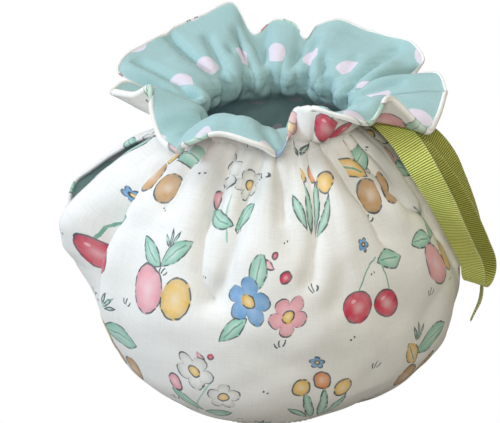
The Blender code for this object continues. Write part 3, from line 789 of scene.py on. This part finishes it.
def cloth_sheet(name, cloth, layer, surface):
    """Closed sheet of one layer of one side."""
    grid, out, numbers = layer_grid(cloth, layer)
    from_rim = cloth.from_rim
    roll_wide = ROLL_WIDE[cloth.side]
    if layer == "panel":
        rows = np.arange(len(grid))
        far = PANEL_THICK * rounded(from_rim, PANEL_ROUND)
        roll = 1.0 - smooth_step(from_rim, roll_wide, roll_wide + ROLL_EDGE)
        near = -(LINING_GAP + LINING_THICK + ROLL_PAST) * rounded(from_rim, ROLL_ROUND) * roll
    else:
        rows = np.flatnonzero(from_rim.min(axis=1) > roll_wide - ROLL_EDGE)
        from_edge = from_rim - from_rim[rows[-1]]
        full = np.maximum(rounded(from_edge, LINING_ROUND), 0.15)
        far = -LINING_GAP - LINING_THICK / 2 * (1.0 - full)
        near = -LINING_GAP - LINING_THICK / 2 * (1.0 + full)
    grid, out, far, near = grid[rows], out[rows], far[rows], near[rows]
    outer = grid + out * far[:, :, None]
    inner = grid + out * near[:, :, None]
    count, columns = far.shape
    points = np.concatenate([outer.reshape(-1, 3), inner.reshape(-1, 3)])
    under = count * columns
    # Flat places of the left and right corners of each column of faces
    edge_strength = pleat_strength(cloth, numbers)[rows]
    ratio = np.minimum(cloth.ring_length[rows] / FLAT_WIDTH, 1.0)[:, None]
    ratio = np.where(cloth.way[rows] < PLEATS_END, 1.0, ratio)
    squeeze = 1.0 + (ratio - 1.0) * np.clip(edge_strength * SQUEEZE_RISE, 0.0, 1.0)
    half = 0.5 / PLEATS if layer == "lining" else 0.0
    edges = np.concatenate([[0.0], cloth.edges + half, [1.0]]) if half else cloth.edges
    edges = np.clip(edges, 0.0, 1.0)
    face_share = (cloth.shares[:-1] + cloth.shares[1:]) / 2
    face_pleat = np.clip(np.searchsorted(edges, face_share, side="right") - 1, 0, len(edges) - 2)
    centre = (edges[face_pleat] + edges[face_pleat + 1]) / 2
    left = FLAT_WIDTH * (centre + (cloth.shares[:-1] - centre) * squeeze[:, :-1])
    right = FLAT_WIDTH * (centre + (cloth.shares[1:] - centre) * squeeze[:, :-1])
    way = cloth.way[rows] + (LINING_CUT[cloth.side] if layer == "lining" else 0.0)
    i, j = np.meshgrid(np.arange(count - 1), np.arange(columns - 1), indexing="ij")
    a = i * columns + j
    quads = np.stack([a, a + 1, a + columns + 1, a + columns], axis=-1).reshape(-1, 4)
    flat = np.stack(
        [
            np.stack([left[:-1], way[:-1, :-1]], axis=-1),
            np.stack([right[:-1], way[:-1, 1:]], axis=-1),
            np.stack([right[1:], way[1:, 1:]], axis=-1),
            np.stack([left[1:], way[1:, :-1]], axis=-1),
        ],
        axis=2,
    ).reshape(-1, 4, 2)
    back_quads = quads[:, ::-1] + under
    border = list(range(columns))
    border += [r * columns + columns - 1 for r in range(1, count)]
    border += [(count - 1) * columns + c for c in range(columns - 2, -1, -1)]
    border += [r * columns for r in range(count - 2, 0, -1)]
    border = np.array(border)
    after = np.roll(border, -1)
    rim_quads = np.stack([border, border + under, after + under, after], axis=-1)
    plain = np.stack([FLAT_WIDTH * cloth.shares[border % columns], way.ravel()[border]], axis=-1)
    plain_after = np.roll(plain, -1, axis=0)
    rim_flat = np.stack([plain, plain, plain_after, plain_after], axis=1)
    faces = np.concatenate([quads, back_quads, rim_quads])
    corners = np.concatenate([flat, flat[:, ::-1], rim_flat])
    nearness = np.exp(-((cloth.from_rim[rows] / WORN_REACH) ** 2))
    worn = np.concatenate([nearness.ravel(), nearness.ravel()])
    return sheet_object(name, points, faces, corners, worn, surface), outer, inner


def stitch_line(points, line, out, step):
    """Adds one row of stitches along a line of points, each a small thread with both ends in the cloth."""
    run = along(line)
    shape = (
        # share of the stitch's length, radius share, rise in mm
        (-0.5, 0.35, -0.15),
        (-0.36, 0.85, 0.06),
        (0.0, 1.0, 0.14),
        (0.36, 0.85, 0.06),
        (0.5, 0.35, -0.15),
    )
    faces = []
    for middle in np.arange(step / 2, run[-1], step):
        first = len(points)
        for part, radius, rise in shape:
            at = middle + part * STITCH_LONG
            place = np.array([np.interp(at, run, line[:, k]) for k in range(3)])
            normal = np.array([np.interp(at, run, out[:, k]) for k in range(3)])
            normal /= np.linalg.norm(normal)
            ahead = np.array([np.interp(at + 0.5, run, line[:, k]) for k in range(3)]) - place
            side = np.cross(normal, ahead)
            side /= np.linalg.norm(side) + 1e-9
            for k in range(THREAD_SIDES):
                turn = 2 * math.pi * k / THREAD_SIDES
                spoke = math.cos(turn) * side + math.sin(turn) * normal
                points.append(place + normal * rise + spoke * radius * STITCH_RADIUS)
        for row in range(len(shape) - 1):
            ring = first + row * THREAD_SIDES
            for k in range(THREAD_SIDES):
                a, b = ring + k, ring + (k + 1) % THREAD_SIDES
                faces.append((a, b, b + THREAD_SIDES, a + THREAD_SIDES))
        last = len(points) - THREAD_SIDES
        faces.append(tuple(first + k for k in reversed(range(THREAD_SIDES))))
        faces.append(tuple(last + k for k in range(THREAD_SIDES)))
    return faces


def thread_object(name, rows, surface):
    points, faces = [], []
    for line, out, step in rows:
        faces += stitch_line(points, line, out, step)
    mesh = bpy.data.meshes.new(name)
    mesh.from_pydata((np.array(points) * MM).tolist(), [], faces)
    mesh.shade_smooth()
    return linked_object(name, mesh, surface)


def ribbon_frame(route):
    """Points, directions across and normals along a ribbon's route, a few to each rib."""
    route = np.array(route)
    length = along(route[:, :3])
    places = np.arange(0.0, length[-1], RIB_STEP / RIB_PARTS)
    facing, tilt = np.radians(route[:, 3]), np.radians(route[:, 4])
    faces_to = np.stack(
        [np.cos(facing) * np.cos(tilt), np.sin(facing) * np.cos(tilt), np.sin(tilt)], axis=1
    )
    rows = curve_through(length, np.concatenate([route[:, :3], faces_to], axis=1), places)
    middle, faces_to = rows[:, :3], rows[:, 3:]
    heading = np.gradient(middle, places, axis=0)
    heading /= np.linalg.norm(heading, axis=1)[:, None]
    side = np.cross(heading, faces_to)
    side /= np.linalg.norm(side, axis=1)[:, None]
    return places, middle, heading, side, np.cross(side, heading)


def ribbon_strip(route, slant, unshaded_face):
    """One ribbed strip: points, faces, the corners' places, the nearness of its edges and which of its
    faces carries painted shade.
    """
    places, middle, heading, side, normal = ribbon_frame(route)
    across = np.array([-1.0, -0.96, -0.88, -0.5, 0.0, 0.5, 0.88, 0.96, 1.0])
    thick = np.array([0.35, 0.8, 1.0, 1.0, 1.0, 1.0, 1.0, 0.8, 0.35])
    ribbed = np.array([0.0, 0.6, 1.0, 1.0, 1.0, 1.0, 1.0, 0.6, 0.0])
    wave = np.cos(2 * math.pi * places / RIB_STEP)
    picot = 1.0 + 0.012 * np.cos(2 * math.pi * places / RIB_STEP)[:, None] * (np.abs(across) > 0.9)
    to_end = places[-1] - places
    lag = np.clip(1.0 - to_end / SLANT_REACH, 0.0, 1.0)[:, None] * across[None, :] * slant / 2
    half = RIBBON_HALF_THICK * thick[None, :] + RIB_HEIGHT * wave[:, None] * ribbed[None, :]
    cup = RIBBON_CUP * (across**2 - 0.4)
    rings = []
    for up, order in ((1, slice(None)), (-1, slice(None, None, -1))):
        place = middle[:, None, :] + side[:, None, :] * (across * RIBBON_WIDE / 2 * picot)[:, :, None]
        place = place + heading[:, None, :] * lag[:, :, None]
        place = place + normal[:, None, :] * (up * half + cup)[:, :, None]
        rings.append(place[:, order])
    rings = np.concatenate(rings, axis=1)
    sections, count = rings.shape[:2]
    u = np.concatenate([across, across[::-1]]) * RIBBON_WIDE / 2
    faces, corners = [], []
    for i in range(sections - 1):
        for k in range(count):
            m = (k + 1) % count
            a, b = i * count + k, i * count + m
            faces.append((b, a, a + count, b + count))
            corners += [(u[m], places[i]), (u[k], places[i]), (u[k], places[i + 1]), (u[m], places[i + 1])]
    for i, flip in ((0, False), (sections - 1, True)):
        for k in range(len(across) - 1):
            face = [i * count + n for n in (k, k + 1, count - 2 - k, count - 1 - k)]
            faces.append(tuple(face[::-1]) if flip else tuple(face))
            corners += [(u[k], places[i])] * 4
    edge = np.tile(np.abs(u) / (RIBBON_WIDE / 2), sections)
    top = np.arange(count) < len(across)
    # Painted shade on one face of the strip: the inner side of a loop, or the face of a tail
    painted_shade = np.tile(np.where(top, unshaded_face < 0, unshaded_face > 0).astype(float), sections)
    return rings.reshape(-1, 3) + (*CENTRE_SHIFT, 0.0), faces, corners, edge, painted_shade


def knot_lump():
    """The knot's band, wound over the ribbons' roots."""
    points, faces, corners = [], [], []
    rings, sides = 24, 40
    radii = np.array(KNOT_SIZE) / 2
    for i in range(rings + 1):
        fall = math.pi * i / rings
        for k in range(sides):
            turn = 2 * math.pi * k / sides
            lump = 1.0 + 0.05 * math.sin(3 * turn + 2 * fall) + 0.04 * math.sin(5 * turn)
            around = math.sin(fall)
            spot = np.array([math.cos(fall), around * math.cos(turn), around * math.sin(turn)])
            points.append(spot[[1, 0, 2]] * radii * lump + KNOT_PLACE + (*CENTRE_SHIFT, 0.0))
    for i in range(rings):
        for k in range(sides):
            a, b = i * sides + k, i * sides + (k + 1) % sides
            faces.append((a, b, b + sides, a + sides))
            spots = ((i, k), (i, k + 1), (i + 1, k + 1), (i + 1, k))
            wide, long = KNOT_FLAT
            corners += [(wide * (row / rings - 0.5), long * column / sides) for row, column in spots]
    # The knot gets half the painted shade
    return np.array(points), faces, corners, np.zeros(len(points)), np.full(len(points), 0.5)


def ribbon_bow(surface):
    """The whole bow as one piece."""
    parts = [
        ribbon_strip(FRONT_LOOP, 0.0, 1),
        ribbon_strip(FRONT_TAIL, TAIL_SLANT, -1),
        ribbon_strip(BACK_LOOP, 0.0, 1),
        ribbon_strip(BACK_TAIL, -TAIL_SLANT, -1),
        knot_lump(),
    ]
    points, faces, corners, edges, painted_shades = [], [], [], [], []
    for part_points, part_faces, part_corners, edge, painted_shade in parts:
        first = sum(len(p) for p in points)
        faces += [tuple(v + first for v in face) for face in part_faces]
        points.append(part_points)
        corners += part_corners
        edges.append(edge)
        painted_shades.append(painted_shade)
    bow = sheet_object(
        "bow_ribbon",
        np.concatenate(points),
        np.array(faces),
        np.array(corners),
        np.concatenate(edges),
        surface,
    )
    # Each point's share of the painted shade
    side = bow.data.attributes.new("painted_shade", "FLOAT", "POINT")
    side.data.foreach_set("value", np.concatenate(painted_shades).astype(np.float32))
    return bow


class Nodes:
    """Adds nodes to one tree. A value is a number, a tuple or another node's output."""

    def __init__(self, tree):
        self.tree = tree

    def node(self, kind):
        return self.tree.nodes.new(kind)

    def put(self, value, socket):
        if isinstance(value, bpy.types.NodeSocket):
            self.tree.links.new(value, socket)
        else:
            socket.default_value = value

    def math(self, operation, *values):
        node = self.node("ShaderNodeMath")
        node.operation = operation
        for value, socket in zip(values, node.inputs):
            self.put(value, socket)
        return node.outputs[0]

    def vector(self, operation, *values, scale=None):
        node = self.node("ShaderNodeVectorMath")
        node.operation = operation
        for value, socket in zip(values, node.inputs):
            self.put(value, socket)
        if scale is not None:
            self.put(scale, node.inputs["Scale"])
        return node.outputs["Value" if operation in ("LENGTH", "DOT_PRODUCT") else "Vector"]

    def part(self, vector, axis):
        return self.vector("DOT_PRODUCT", vector, [float(axis == k) for k in range(3)])

    def parts(self, vector):
        return self.part(vector, 0), self.part(vector, 1)

    def joined(self, x, y, z=0.0):
        node = self.node("ShaderNodeCombineXYZ")
        for value, socket in zip((x, y, z), node.inputs):
            self.put(value, socket)
        return node.outputs[0]

    def placed(self, vector, x, y, turn, wide, high):
        """The vector measured from a place, turned and counted in half widths and heights."""
        node = self.node("ShaderNodeMapping")
        node.vector_type = "TEXTURE"
        self.put(vector, node.inputs["Vector"])
        node.inputs["Location"].default_value = (x, y, 0.0)
        node.inputs["Rotation"].default_value = (0.0, 0.0, math.radians(turn))
        node.inputs["Scale"].default_value = (wide, high, 1.0)
        return node.outputs[0]

    def stretch(self, value, low, high, to_low=0.0, to_high=1.0):
        """The value carried smoothly from one range to another, and held at its ends."""
        node = self.node("ShaderNodeMapRange")
        node.interpolation_type = "SMOOTHSTEP"
        for number, socket in zip((value, low, high, to_low, to_high), node.inputs):
            self.put(number, socket)
        return node.outputs[0]

    def mix(self, share, below, above, blend="MIX"):
        node = self.node("ShaderNodeMix")
        node.data_type = "RGBA"
        node.blend_type = blend
        self.put(share, node.inputs["Factor"])
        sockets = [s for s in node.inputs if s.type == "RGBA"]
        self.put(below, sockets[0])
        self.put(above, sockets[1])
        return [s for s in node.outputs if s.type == "RGBA"][0]

    def noise(self, vector, size, detail=2.0, rough=0.5):
        """Cloudy noise with spots of about this size in mm."""
        node = self.node("ShaderNodeTexNoise")
        self.put(vector, node.inputs["Vector"])
        node.inputs["Scale"].default_value = 1.0 / size
        node.inputs["Detail"].default_value = detail
        node.inputs["Roughness"].default_value = rough
        return node.outputs["Fac"], node.outputs["Color"]

    def chance(self, vector):
        node = self.node("ShaderNodeTexWhiteNoise")
        node.noise_dimensions = "3D"
        self.put(vector, node.inputs["Vector"])
        return node.outputs["Color"]


class Shader(Nodes):
    """One material of cloth, with the places on the flat cloth in mm."""

    def __init__(self, name, roughness, sheen):
        self.material = bpy.data.materials.new(name)
        self.material.use_nodes = True
        super().__init__(self.material.node_tree)
        self.main = self.tree.nodes["Principled BSDF"]
        self.main.inputs["Roughness"].default_value = roughness
        self.main.inputs["Sheen Weight"].default_value = sheen
        self.main.inputs["Sheen Roughness"].default_value = 0.5
        self.main.inputs["Specular IOR Level"].default_value = 0.3
        self.main.inputs["Metallic"].default_value = 0.0
        flat = self.node("ShaderNodeUVMap")
        flat.uv_map = "flat"
        self.flat = self.vector("SCALE", flat.outputs["UV"], scale=1 / MM)

    def cell(self, size, shift):
        """Bricks of this size over the flat cloth: each one's number, and the place from its middle."""
        x, y = self.parts(self.flat)
        high = self.math("MULTIPLY_ADD", y, 1.0 / size[1], shift[1])
        row = self.math("FLOOR", high)
        half = self.math("MULTIPLY", self.math("FLOORED_MODULO", row, 2.0), 0.5)
        wide = self.math("ADD", self.math("MULTIPLY_ADD", x, 1.0 / size[0], shift[0]), half)
        column = self.math("FLOOR", wide)
        from_x = self.math("MULTIPLY", self.math("SUBTRACT", self.math("FRACT", wide), 0.5), size[0])
        from_y = self.math("MULTIPLY", self.math("SUBTRACT", self.math("FRACT", high), 0.5), size[1])
        return column, row, self.joined(from_x, from_y)

    def weave(self, pitch):
        """Crossing threads, 0 in the gaps and 1 on their crowns."""
        x, y = self.parts(self.flat)
        warp = self.math("ABSOLUTE", self.math("SINE", self.math("MULTIPLY", x, math.pi / pitch)))
        weft = self.math("ABSOLUTE", self.math("SINE", self.math("MULTIPLY", y, math.pi / pitch)))
        return self.math("MAXIMUM", self.math("MULTIPLY", warp, 0.9), weft)

    def point_value(self, name):
        node = self.node("ShaderNodeAttribute")
        node.attribute_name = name
        return node.outputs["Fac"]

    def finish(self, colour, height, depth):
        """Sets the colour, and a bump of this depth in mm."""
        self.put(colour, self.main.inputs["Base Color"])
        node = self.node("ShaderNodeBump")
        node.inputs["Distance"].default_value = depth * MM
        node.inputs["Strength"].default_value = 1.0
        self.put(height, node.inputs["Height"])
        self.put(node.outputs["Normal"], self.main.inputs["Normal"])
        return self.material


def shape_cover(shader, form, local, x, y, wide, high, turn):
    """0 in the shape's middle, and EDGE where it ends."""
    if form == "line":
        across, up = shader.parts(shader.placed(local, x, y, turn, wide, wide))
        sharp = EDGE * wide / LINE_HALF
        bow = shader.math("MULTIPLY_ADD", shader.math("MULTIPLY", across, across), high, up)
        off = shader.math("MULTIPLY", shader.math("ABSOLUTE", shader.math("SUBTRACT", bow, high)), sharp)
        past = shader.math("MULTIPLY_ADD", shader.math("ABSOLUTE", across), sharp, EDGE - sharp)
        return shader.math("MAXIMUM", off, past)
    spot = shader.placed(local, x, y, turn, wide, high)
    if form == "leaf":
        across, up = shader.parts(spot)
        reach = shader.math("MULTIPLY_ADD", across, across, shader.math("ABSOLUTE", up))
    elif form == "bloom":
        across, up = shader.parts(spot)
        petals = shader.math("MULTIPLY", shader.math("ARCTAN2", up, across), 2.5)
        lobes = shader.math("POWER", shader.math("ABSOLUTE", shader.math("COSINE", petals)), 0.6)
        reach = shader.math(
            "DIVIDE", shader.vector("LENGTH", spot), shader.math("MULTIPLY_ADD", lobes, 0.45, 0.55)
        )
    else:
        reach = shader.vector("LENGTH", spot)
    return shader.math("MULTIPLY", reach, EDGE)


def ink_wash():
    """Group that paints a shape: a wash, paler in the middle, in a dark pen line that breaks at gaps."""
    group = bpy.data.node_groups.new("ink_wash", "ShaderNodeTree")
    for name, kind in (
        ("Value", "NodeSocketFloat"),
        ("Pen", "NodeSocketFloat"),
        ("Gaps", "NodeSocketFloat"),
        ("Below", "NodeSocketColor"),
        ("Ink", "NodeSocketColor"),
    ):
        group.interface.new_socket(name=name, in_out="INPUT", socket_type=kind)
    group.interface.new_socket(name="Color", in_out="OUTPUT", socket_type="NodeSocketColor")
    nodes = Nodes(group)
    value, pen, gaps, below, ink = nodes.node("NodeGroupInput").outputs[:5]
    pale = nodes.mix(0.36, ink, (1.0, 1.0, 1.0, 1.0))
    deep = nodes.mix(1.0, ink, (0.82, 0.82, 0.82, 1.0), "MULTIPLY")
    colour = nodes.mix(nodes.stretch(value, 0.0, 0.5), pale, ink)
    line = nodes.math("MULTIPLY_ADD", pen, -1.0, EDGE)
    colour = nodes.mix(nodes.stretch(value, 0.45, line), colour, deep)
    soft = nodes.math("MULTIPLY_ADD", pen, -1.7, EDGE)
    drawn = nodes.math("MULTIPLY", nodes.stretch(value, soft, line), nodes.math("SUBTRACT", 1.0, gaps))
    colour = nodes.mix(drawn, colour, (*INKS["slate"], 1.0))
    inner = nodes.math("MULTIPLY_ADD", pen, 0.3, EDGE)
    outer = nodes.math("MULTIPLY_ADD", pen, 1.2, EDGE)
    cover = nodes.stretch(value, inner, outer, 1.0, 0.0)
    nodes.put(nodes.mix(cover, below, colour), nodes.node("NodeGroupOutput").inputs[0])
    return group


def with_details(shapes):
    """The shapes, with a vein in each large leaf and pips on each crimson fruit."""
    for shape in shapes:
        yield shape
        form, x, y, wide, high, turn, ink = shape
        if form == "leaf" and high > 3.0:
            yield ("line", x, y, wide * 0.7, 0.04, turn, "pine")
        if form == "ball" and ink == "crimson" and wide > 4.0:
            yield ("spot", x - wide * 0.35, y + high * 0.35, 1.1, 0.7, 40.0, "pink")


def painted(shader, colour, local, gaps, shapes):
    for form, x, y, wide, high, turn, ink in with_details(shapes):
        value = shape_cover(shader, form, local, x, y, wide, high, turn)
        if form in ("line", "spot"):
            cover = shader.stretch(value, EDGE, EDGE + 0.15, 1.0, 0.0)
            colour = shader.mix(cover, colour, (*INKS[ink], 1.0))
            continue
        wash = shader.node("ShaderNodeGroup")
        wash.node_tree = bpy.data.node_groups["ink_wash"]
        pen = EDGE * PEN_HALF / min(wide, high)
        for given, socket in zip((value, pen, gaps, colour, (*INKS[ink], 1.0)), wash.inputs):
            shader.put(given, socket)
        colour = wash.outputs[0]
    return colour


def motif_layer(shader, colour, motifs, size, shift, steps, jitter, tilt):
    """One motif to each brick, in turn by column and row, each a little off its place and tilted."""
    column, row, local = shader.cell(size, shift)
    chance = shader.chance(shader.joined(column, row, shift[0] * 7.3))
    off = shader.vector("MULTIPLY", shader.vector("SUBTRACT", chance, (0.5, 0.5, 0.5)), (*jitter, 0.0))
    wobble = shader.noise(shader.flat, 5.0)[1]
    wobble = shader.vector("MULTIPLY", shader.vector("SUBTRACT", wobble, (0.5, 0.5, 0.5)), (1.5, 1.5, 0.0))
    local = shader.vector("ADD", shader.vector("ADD", local, off), wobble)
    turned = shader.node("ShaderNodeVectorRotate")
    turned.rotation_type = "Z_AXIS"
    shader.put(local, turned.inputs["Vector"])
    lean = shader.math("MULTIPLY_ADD", shader.part(chance, 2), 2 * tilt, -tilt)
    shader.put(lean, turned.inputs["Angle"])
    by_column = shader.math("MULTIPLY", column, steps[0])
    by_row = shader.math("MULTIPLY", row, steps[1])
    number = shader.math("ADD", by_column, by_row)
    kind = shader.math("FLOORED_MODULO", number, float(len(motifs)))
    gaps = shader.stretch(shader.noise(shader.flat, 3.4, 1.0)[0], 0.54, 0.60)
    for index, shapes in enumerate(motifs):
        same = shader.math("COMPARE", kind, float(index), 0.1)
        away = shader.math("MULTIPLY_ADD", same, -OUT_OF_SIGHT, OUT_OF_SIGHT)
        spot = shader.vector("ADD", turned.outputs[0], shader.joined(away, 0.0))
        colour = painted(shader, colour, spot, gaps, shapes)
    return colour


def print_cotton():
    """White plain-weave cotton with a tossed print of fruit and flowers."""
    shader = Shader("print_cloth", 0.88, 0.12)
    ink_wash()
    cloudy = shader.noise(shader.flat, 38.0, 3.0)[0]
    colour = shader.mix(cloudy, *WHITE_GROUND)
    inked = colour
    for layer in PRINT_LAYERS:
        inked = motif_layer(shader, inked, *layer)
    threads = shader.weave(PRINT_PITCH)
    weft = shader.noise(shader.vector("MULTIPLY", shader.flat, (0.12, 1.6, 1.0)), 1.0, 3.0)[0]
    warp = shader.noise(shader.vector("MULTIPLY", shader.flat, (1.9, 0.10, 1.0)), 1.0, 3.0)[0]
    slub = shader.math("MULTIPLY_ADD", shader.math("ADD", warp, weft), 1.0, -0.5)
    wash = shader.stretch(shader.noise(shader.flat, 6.0, 3.0)[0], 0.3, 0.7, 0.74, 0.92)
    soak = shader.math("MULTIPLY_ADD", threads, 0.08, wash)
    colour = shader.mix(soak, colour, inked)
    shade = shader.math("MULTIPLY_ADD", slub, 0.16, 0.91)
    colour = shader.mix(1.0, colour, shader.joined(shade, shade, shade), "MULTIPLY")
    colour = shader.mix(shader.math("MULTIPLY", shader.point_value("worn"), 0.3), colour, WORN_WHITE)
    height = shader.math("ADD", shader.math("MULTIPLY", threads, 0.5), shader.math("MULTIPLY", slub, 0.5))
    return shader.finish(colour, height, 0.10)


def teal_cotton():
    """Teal plain-weave cotton with pale spots in staggered rows."""
    shader = Shader("teal_cloth", 0.9, 0.18)
    threads = shader.weave(TEAL_PITCH)
    cloudy = shader.noise(shader.flat, 30.0, 3.0)[0]
    colour = shader.mix(cloudy, *TEAL_GROUND)
    local = shader.cell(DOT_CELL, DOT_SHIFT)[2]
    edge = shader.noise(shader.flat, 1.2)[0]
    reach = shader.math("ADD", shader.vector("LENGTH", local), shader.math("MULTIPLY", edge, 0.5))
    dot = shader.stretch(reach, DOT_RADIUS + 0.1, DOT_RADIUS + 0.5, 1.0, 0.0)
    colour = shader.mix(dot, colour, DOT_COLOUR)
    warp = shader.noise(shader.vector("MULTIPLY", shader.flat, (2.0, 0.12, 1.0)), 1.0, 3.0)[0]
    weft = shader.noise(shader.vector("MULTIPLY", shader.flat, (0.12, 2.0, 1.0)), 1.0, 3.0)[0]
    shade = shader.math("MULTIPLY_ADD", shader.math("ADD", warp, weft), 0.22, 0.78)
    colour = shader.mix(1.0, colour, shader.joined(shade, shade, shade), "MULTIPLY")
    colour = shader.mix(shader.math("MULTIPLY", shader.point_value("worn"), 0.12), colour, WORN_TEAL)
    height = shader.math("ADD", shader.math("MULTIPLY", threads, 0.5), shader.math("MULTIPLY", warp, 0.6))
    return shader.finish(colour, height, 0.12)


def green_ribbon():
    """Grosgrain: painted light on the crowns and painted shade in the furrows, bright loops along both
    edges, and painted shade on the faces turned from the light.
    """
    shader = Shader("ribbed_ribbon", 0.5, 0.3)
    y = shader.part(shader.flat, 1)
    rib = shader.math("COSINE", shader.math("MULTIPLY", y, 2 * math.pi / RIB_STEP))
    crown = shader.stretch(rib, -0.8, 0.8)
    # Painted shade in the furrows and painted light on the crowns of the ribs
    colour = shader.mix(crown, RIBBON_FURROW_PAINTED_SHADE, RIBBON_CROWN_PAINTED_LIGHT)
    thread = shader.noise(shader.vector("MULTIPLY", shader.flat, (4.0, 0.4, 1.0)), 1.0, 2.0)[0]
    shade = shader.math("MULTIPLY_ADD", thread, 0.35, 0.82)
    colour = shader.mix(1.0, colour, shader.joined(shade, shade, shade), "MULTIPLY")
    edge = shader.stretch(shader.point_value("worn"), 0.90, 0.96)
    colour = shader.mix(shader.math("MULTIPLY", edge, crown), colour, RIBBON_EDGE)
    # Painted shade darkens the loops' inner sides, the tails and, by half, the knot
    painted_shade = shader.math("MULTIPLY", shader.point_value("painted_shade"), 0.85)
    colour = shader.mix(painted_shade, colour, RIBBON_PAINTED_SHADE, "MULTIPLY")
    height = shader.math("ADD", thread, shader.math("MULTIPLY", crown, 0.4))
    return shader.finish(colour, height, 0.05)


def thread_cotton(name, shaded, lit):
    """Sewing thread with its twist, painted as strands in shade and in light."""
    shader = Shader(name, 0.7, 0.2)
    place = shader.node("ShaderNodeTexCoord").outputs["Object"]
    place = shader.vector("SCALE", place, scale=1 / MM)
    twist = shader.noise(place, 0.3)[0]
    colour = shader.mix(twist, shaded, lit)
    return shader.finish(colour, twist, 0.05)


def light(name, place, power, size, colour):
    """Square area light, in metres and watts."""
    data = bpy.data.lights.new(name, "AREA")
    data.energy = power
    data.size = size
    data.color = colour
    lamp = bpy.data.objects.new(name, data)
    lamp.location = place
    lamp.rotation_euler = (Vector(LIGHT_AIM) - Vector(place)).to_track_quat("-Z", "Y").to_euler()
    bpy.context.scene.collection.objects.link(lamp)


def only_lights(tree, seen, lighting):
    """Mixes two shaders: one for what the camera sees, the other for the light that the surface gives."""
    path = tree.nodes.new("ShaderNodeLightPath")
    mixed = tree.nodes.new("ShaderNodeMixShader")
    tree.links.new(path.outputs["Is Camera Ray"], mixed.inputs[0])
    tree.links.new(lighting, mixed.inputs[1])
    tree.links.new(seen, mixed.inputs[2])
    return mixed.outputs[0]


def white_world():
    world = bpy.data.worlds.new("white_room")
    world.use_nodes = True
    tree = world.node_tree
    tree.nodes.clear()
    seen = tree.nodes.new("ShaderNodeBackground")
    seen.inputs["Color"].default_value = (1.0, 1.0, 1.0, 1.0)
    lighting = tree.nodes.new("ShaderNodeBackground")
    lighting.inputs["Color"].default_value = (*WORLD_COLOUR, 1.0)
    lighting.inputs["Strength"].default_value = WORLD_STRENGTH
    out = tree.nodes.new("ShaderNodeOutputWorld")
    tree.links.new(only_lights(tree, seen.outputs[0], lighting.outputs[0]), out.inputs["Surface"])
    bpy.context.scene.world = world


def white_table():
    """Plain white table that shows no shadow."""
    mesh = bpy.data.meshes.new("table")
    corners = [(-2.0, -2.0, 0.0), (2.0, -2.0, 0.0), (2.0, 2.0, 0.0), (-2.0, 2.0, 0.0)]
    mesh.from_pydata(corners, [], [(0, 1, 2, 3)])
    surface = bpy.data.materials.new("table_white")
    surface.use_nodes = True
    tree = surface.node_tree
    shader = tree.nodes["Principled BSDF"]
    shader.inputs["Base Color"].default_value = TABLE_COLOUR
    shader.inputs["Roughness"].default_value = 0.9
    glow = tree.nodes.new("ShaderNodeEmission")
    glow.inputs["Color"].default_value = (1.0, 1.0, 1.0, 1.0)
    out = tree.nodes["Material Output"]
    tree.links.new(only_lights(tree, glow.outputs[0], shader.outputs[0]), out.inputs["Surface"])
    table = linked_object("table", mesh, surface)
    table.location = (0.0, 0.0, -0.0004)


def photo_camera():
    """The camera stands so that the body's middle falls on the photo's pixel."""
    scene = bpy.context.scene
    data = bpy.data.cameras.new("camera")
    data.lens = CAMERA_LENS
    data.sensor_width = 36.0
    camera = bpy.data.objects.new("camera", data)
    slope = math.radians(CAMERA_ELEVATION)
    forward = Vector((0.0, math.cos(slope), -math.sin(slope)))
    right = Vector((1.0, 0.0, 0.0))
    up = right.cross(forward)
    focal = CAMERA_LENS / 36.0 * PICTURE[0]
    off_x = (MIDDLE_PIXEL[0] - PICTURE[0] / 2) / focal * CAMERA_DISTANCE
    off_y = (MIDDLE_PIXEL[1] - PICTURE[1] / 2) / focal * CAMERA_DISTANCE
    target = Vector(BODY_MIDDLE) - off_x * right + off_y * up
    camera.location = (target - CAMERA_DISTANCE * forward) * MM
    camera.rotation_euler = forward.to_track_quat("-Z", "Y").to_euler()
    data.clip_start = 0.05
    data.clip_end = 10.0
    scene.collection.objects.link(camera)
    scene.camera = camera
    scene.view_settings.view_transform = "Standard"
    scene.view_settings.look = "None"
    scene.view_settings.exposure = EXPOSURE


def seam_rows(rows, outer, inner, inside):
    """Lines that stitches follow, with the directions out of the cloth there."""
    found = []
    for row in rows:
        line, other = (inner, outer) if inside else (outer, inner)
        out = line[row] - other[row]
        found.append((line[row][2:-2], out[2:-2], STITCH_STEP))
    return found


def main():
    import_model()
    cotton, teal = print_cotton(), teal_cotton()
    threads = {"panel": [], "lining": []}
    for side in ("front", "back"):
        cloth = Cloth(side)
        for layer, surface in (("panel", cotton), ("lining", teal)):
            name = layer + "_" + side
            sheet, outer, inner = cloth_sheet(layer + "_cloth_" + side, cloth, layer, surface)
            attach(sheet, "root")
            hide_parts(name)
            rows = [cloth.neck_row, cloth.casing_row] + ([cloth.hem_row] if layer == "panel" else [])
            threads[layer] += seam_rows(rows, outer, inner, layer == "lining")
    pale = thread_cotton("pale_thread", *PALE_THREAD)
    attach(thread_object("panel_stitches", threads["panel"], pale), "root")
    green = thread_cotton("teal_thread", *TEAL_THREAD)
    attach(thread_object("lining_stitches", threads["lining"], green), "root")
    bow = ribbon_bow(green_ribbon())
    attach(bow, "root")
    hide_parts("ribbon_tie")
    white_table()
    white_world()
    for name, place, power, size, colour in LIGHTS:
        light(name, place, power, size, colour)
    photo_camera()


main()
